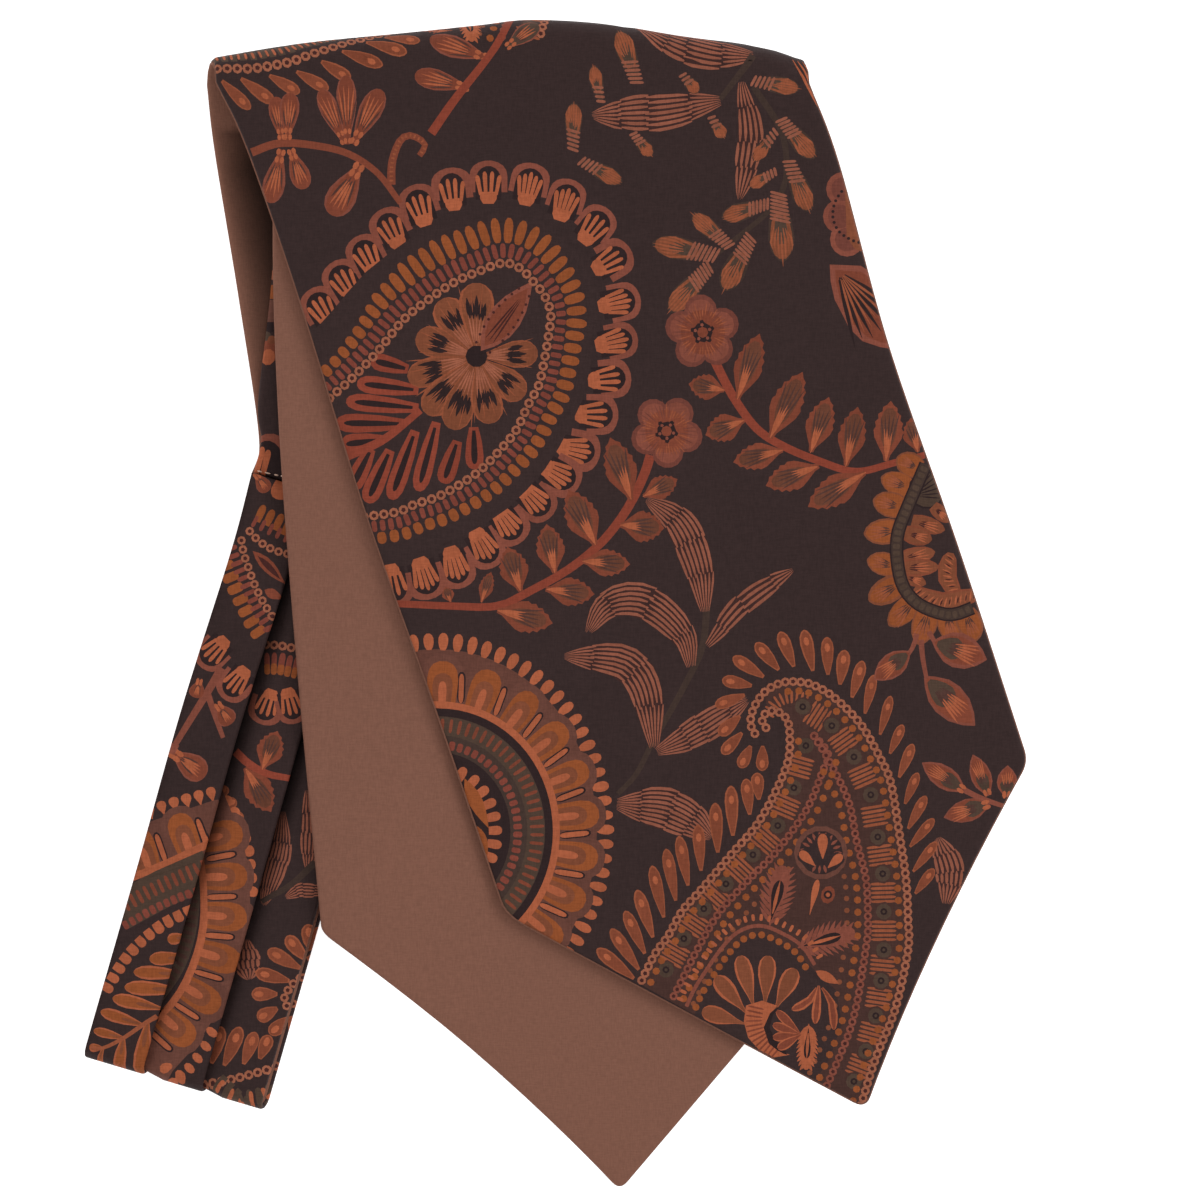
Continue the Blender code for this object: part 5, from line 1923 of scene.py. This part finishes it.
def cloth_finish(name, cloth, pieces):
    """A cloth material that reads the inks on the mesh and varies them thread by thread."""
    material = bpy.data.materials.new(name)
    material.use_nodes = True
    nodes, links = material.node_tree.nodes, material.node_tree.links
    shader = nodes["Principled BSDF"]
    place = nodes.new("ShaderNodeTexCoord")
    weave = nodes.new("ShaderNodeGroup")
    weave.node_tree = WEAVE
    links.new(place.outputs["Object"], weave.inputs["Place"])
    ink = nodes.new("ShaderNodeAttribute")
    ink.attribute_name = "ink"
    strength = nodes.new("ShaderNodeMapRange")
    strength.inputs["To Min"].default_value = cloth.dim
    strength.inputs["To Max"].default_value = cloth.bright
    links.new(weave.outputs["Grain"], strength.inputs["Value"])
    tint = nodes.new("ShaderNodeVectorMath")
    tint.operation = "SCALE"
    links.new(ink.outputs["Color"], tint.inputs[0])
    links.new(strength.outputs["Result"], tint.inputs["Scale"])
    links.new(tint.outputs[0], shader.inputs["Base Color"])
    relief = nodes.new("ShaderNodeBump")
    relief.inputs["Strength"].default_value = cloth.bump
    relief.inputs["Distance"].default_value = THREAD_RELIEF
    links.new(weave.outputs["Grain"], relief.inputs["Height"])
    links.new(relief.outputs["Normal"], shader.inputs["Normal"])
    shader.inputs["Roughness"].default_value = cloth.roughness
    shader.inputs["Specular IOR Level"].default_value = SHEEN
    for piece in pieces:
        piece.data.materials.append(material)
    return material

# %% [markdown]
# ## The tack
# A few stitches of pale thread hold the pleats where the neckband is sewn to the blades. Each is a
# small ball drawn out along the thread, and its ends dip into the cloth. It is placed by a ray cast
# down onto the blade under it.

# %% Sew the tack
TACK = pairs(
    -85.1, 38.1, -83.5, 37.7, -82.9, 37.6, -81.1, 37.2, -80.2, 37.0, -78.8, 36.7,
    -78.1, 36.6, -76.8, 36.3,
)
THREAD_RADIUS = 0.24
RAY_START = 0.1
BALL_TURN = (0, math.pi / 2, 0)
stitches = []
for start, end in TACK:
    middle, reach = (start + end) / 2, math.dist(start, end) / 2
    heights = [piece.ray_cast((*(middle * MM), RAY_START), (0, 0, -1)) for piece in (shell_b, band)]
    level = max(place.z for hit, place, *_ in heights if hit)
    bpy.ops.object.select_all(action="DESELECT")
    bpy.ops.mesh.primitive_uv_sphere_add(segments=12, ring_count=16, radius=1.0, rotation=BALL_TURN)
    stitch = bpy.context.active_object
    bpy.ops.object.transform_apply(rotation=True)
    way = (end - start) / (2 * reach)
    for vertex in stitch.data.vertices:
        along, side, up = vertex.co
        rise = THREAD_RADIUS * (0.4 + up - along * along)
        plan = middle + way * along * reach + left_of(way) * side * THREAD_RADIUS
        vertex.co = (plan[0] * MM, plan[1] * MM, level + rise * MM)
    stitches.append(stitch)
bpy.ops.object.select_all(action="DESELECT")
for stitch in stitches:
    stitch.select_set(True)
bpy.context.view_layer.objects.active = stitches[0]
bpy.ops.object.join()
tack = bpy.context.active_object
tack.name = "tack_stitches"
bpy.ops.object.shade_smooth()
ink = tack.data.color_attributes.new("ink", "FLOAT_COLOR", "CORNER")
ink.data.foreach_set("color", np.tile([*silk(205, 170, 150), 1.0], len(ink.data)))
print("tack of", len(TACK), "stitches at", round(level * 1000, 1), "mm")

cloth_finish("printed silk", Cloth(0.65, 0.86, 1.14, 0.2), (shell_a, shell_b, band))
cloth_finish("plain lining", Cloth(0.8, 0.9, 1.1, 0.25), (lining_a, lining_b))
cloth_finish("pale thread", Cloth(0.7, 0.8, 1.2, 0.4), (tack,))
print("finishes:", [material.name for material in bpy.data.materials])

# %% [markdown]
# ## Attach the pieces
# Each piece is hung on the root body, the solid it stands for in the model is hidden, and the size of
# its cut cloth is printed.

AWAY_A = BLADE_A.tip - BLADE_A.crest[4]
AWAY_B = BLADE_B.tip - BLADE_B.crest[2]
LINING_CUT = grown(OUTLINE_A, 0.25)
SHEETS = (
    (shell_a, "blade_a_shell", "printed_silk", OUTLINE_A, AWAY_A, ["blade_A_lining"]),
    (lining_a, "blade_a_lining", "plain_lining", LINING_CUT, AWAY_A, ["neckband_cloth"]),
    (lining_b, "blade_b_lining", "plain_lining", OUTLINE_B, AWAY_B, ["blade_A_lining"]),
    (shell_b, "blade_b_shell", "printed_silk", OUTLINE_B, AWAY_B, ["blade_B_lining"]),
    (band, "neckband", "printed_silk", BAND_CUT, (0, 1), []),
)
for piece, node, slot, outline, direction, under in SHEETS:
    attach(piece, "root")
    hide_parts(node)
    width, length, area = flat_size(outline, direction)
    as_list(under)
    print(piece.name, "cut", round(width * 1000), "x", round(length * 1000), "mm")

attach(tack, "root")
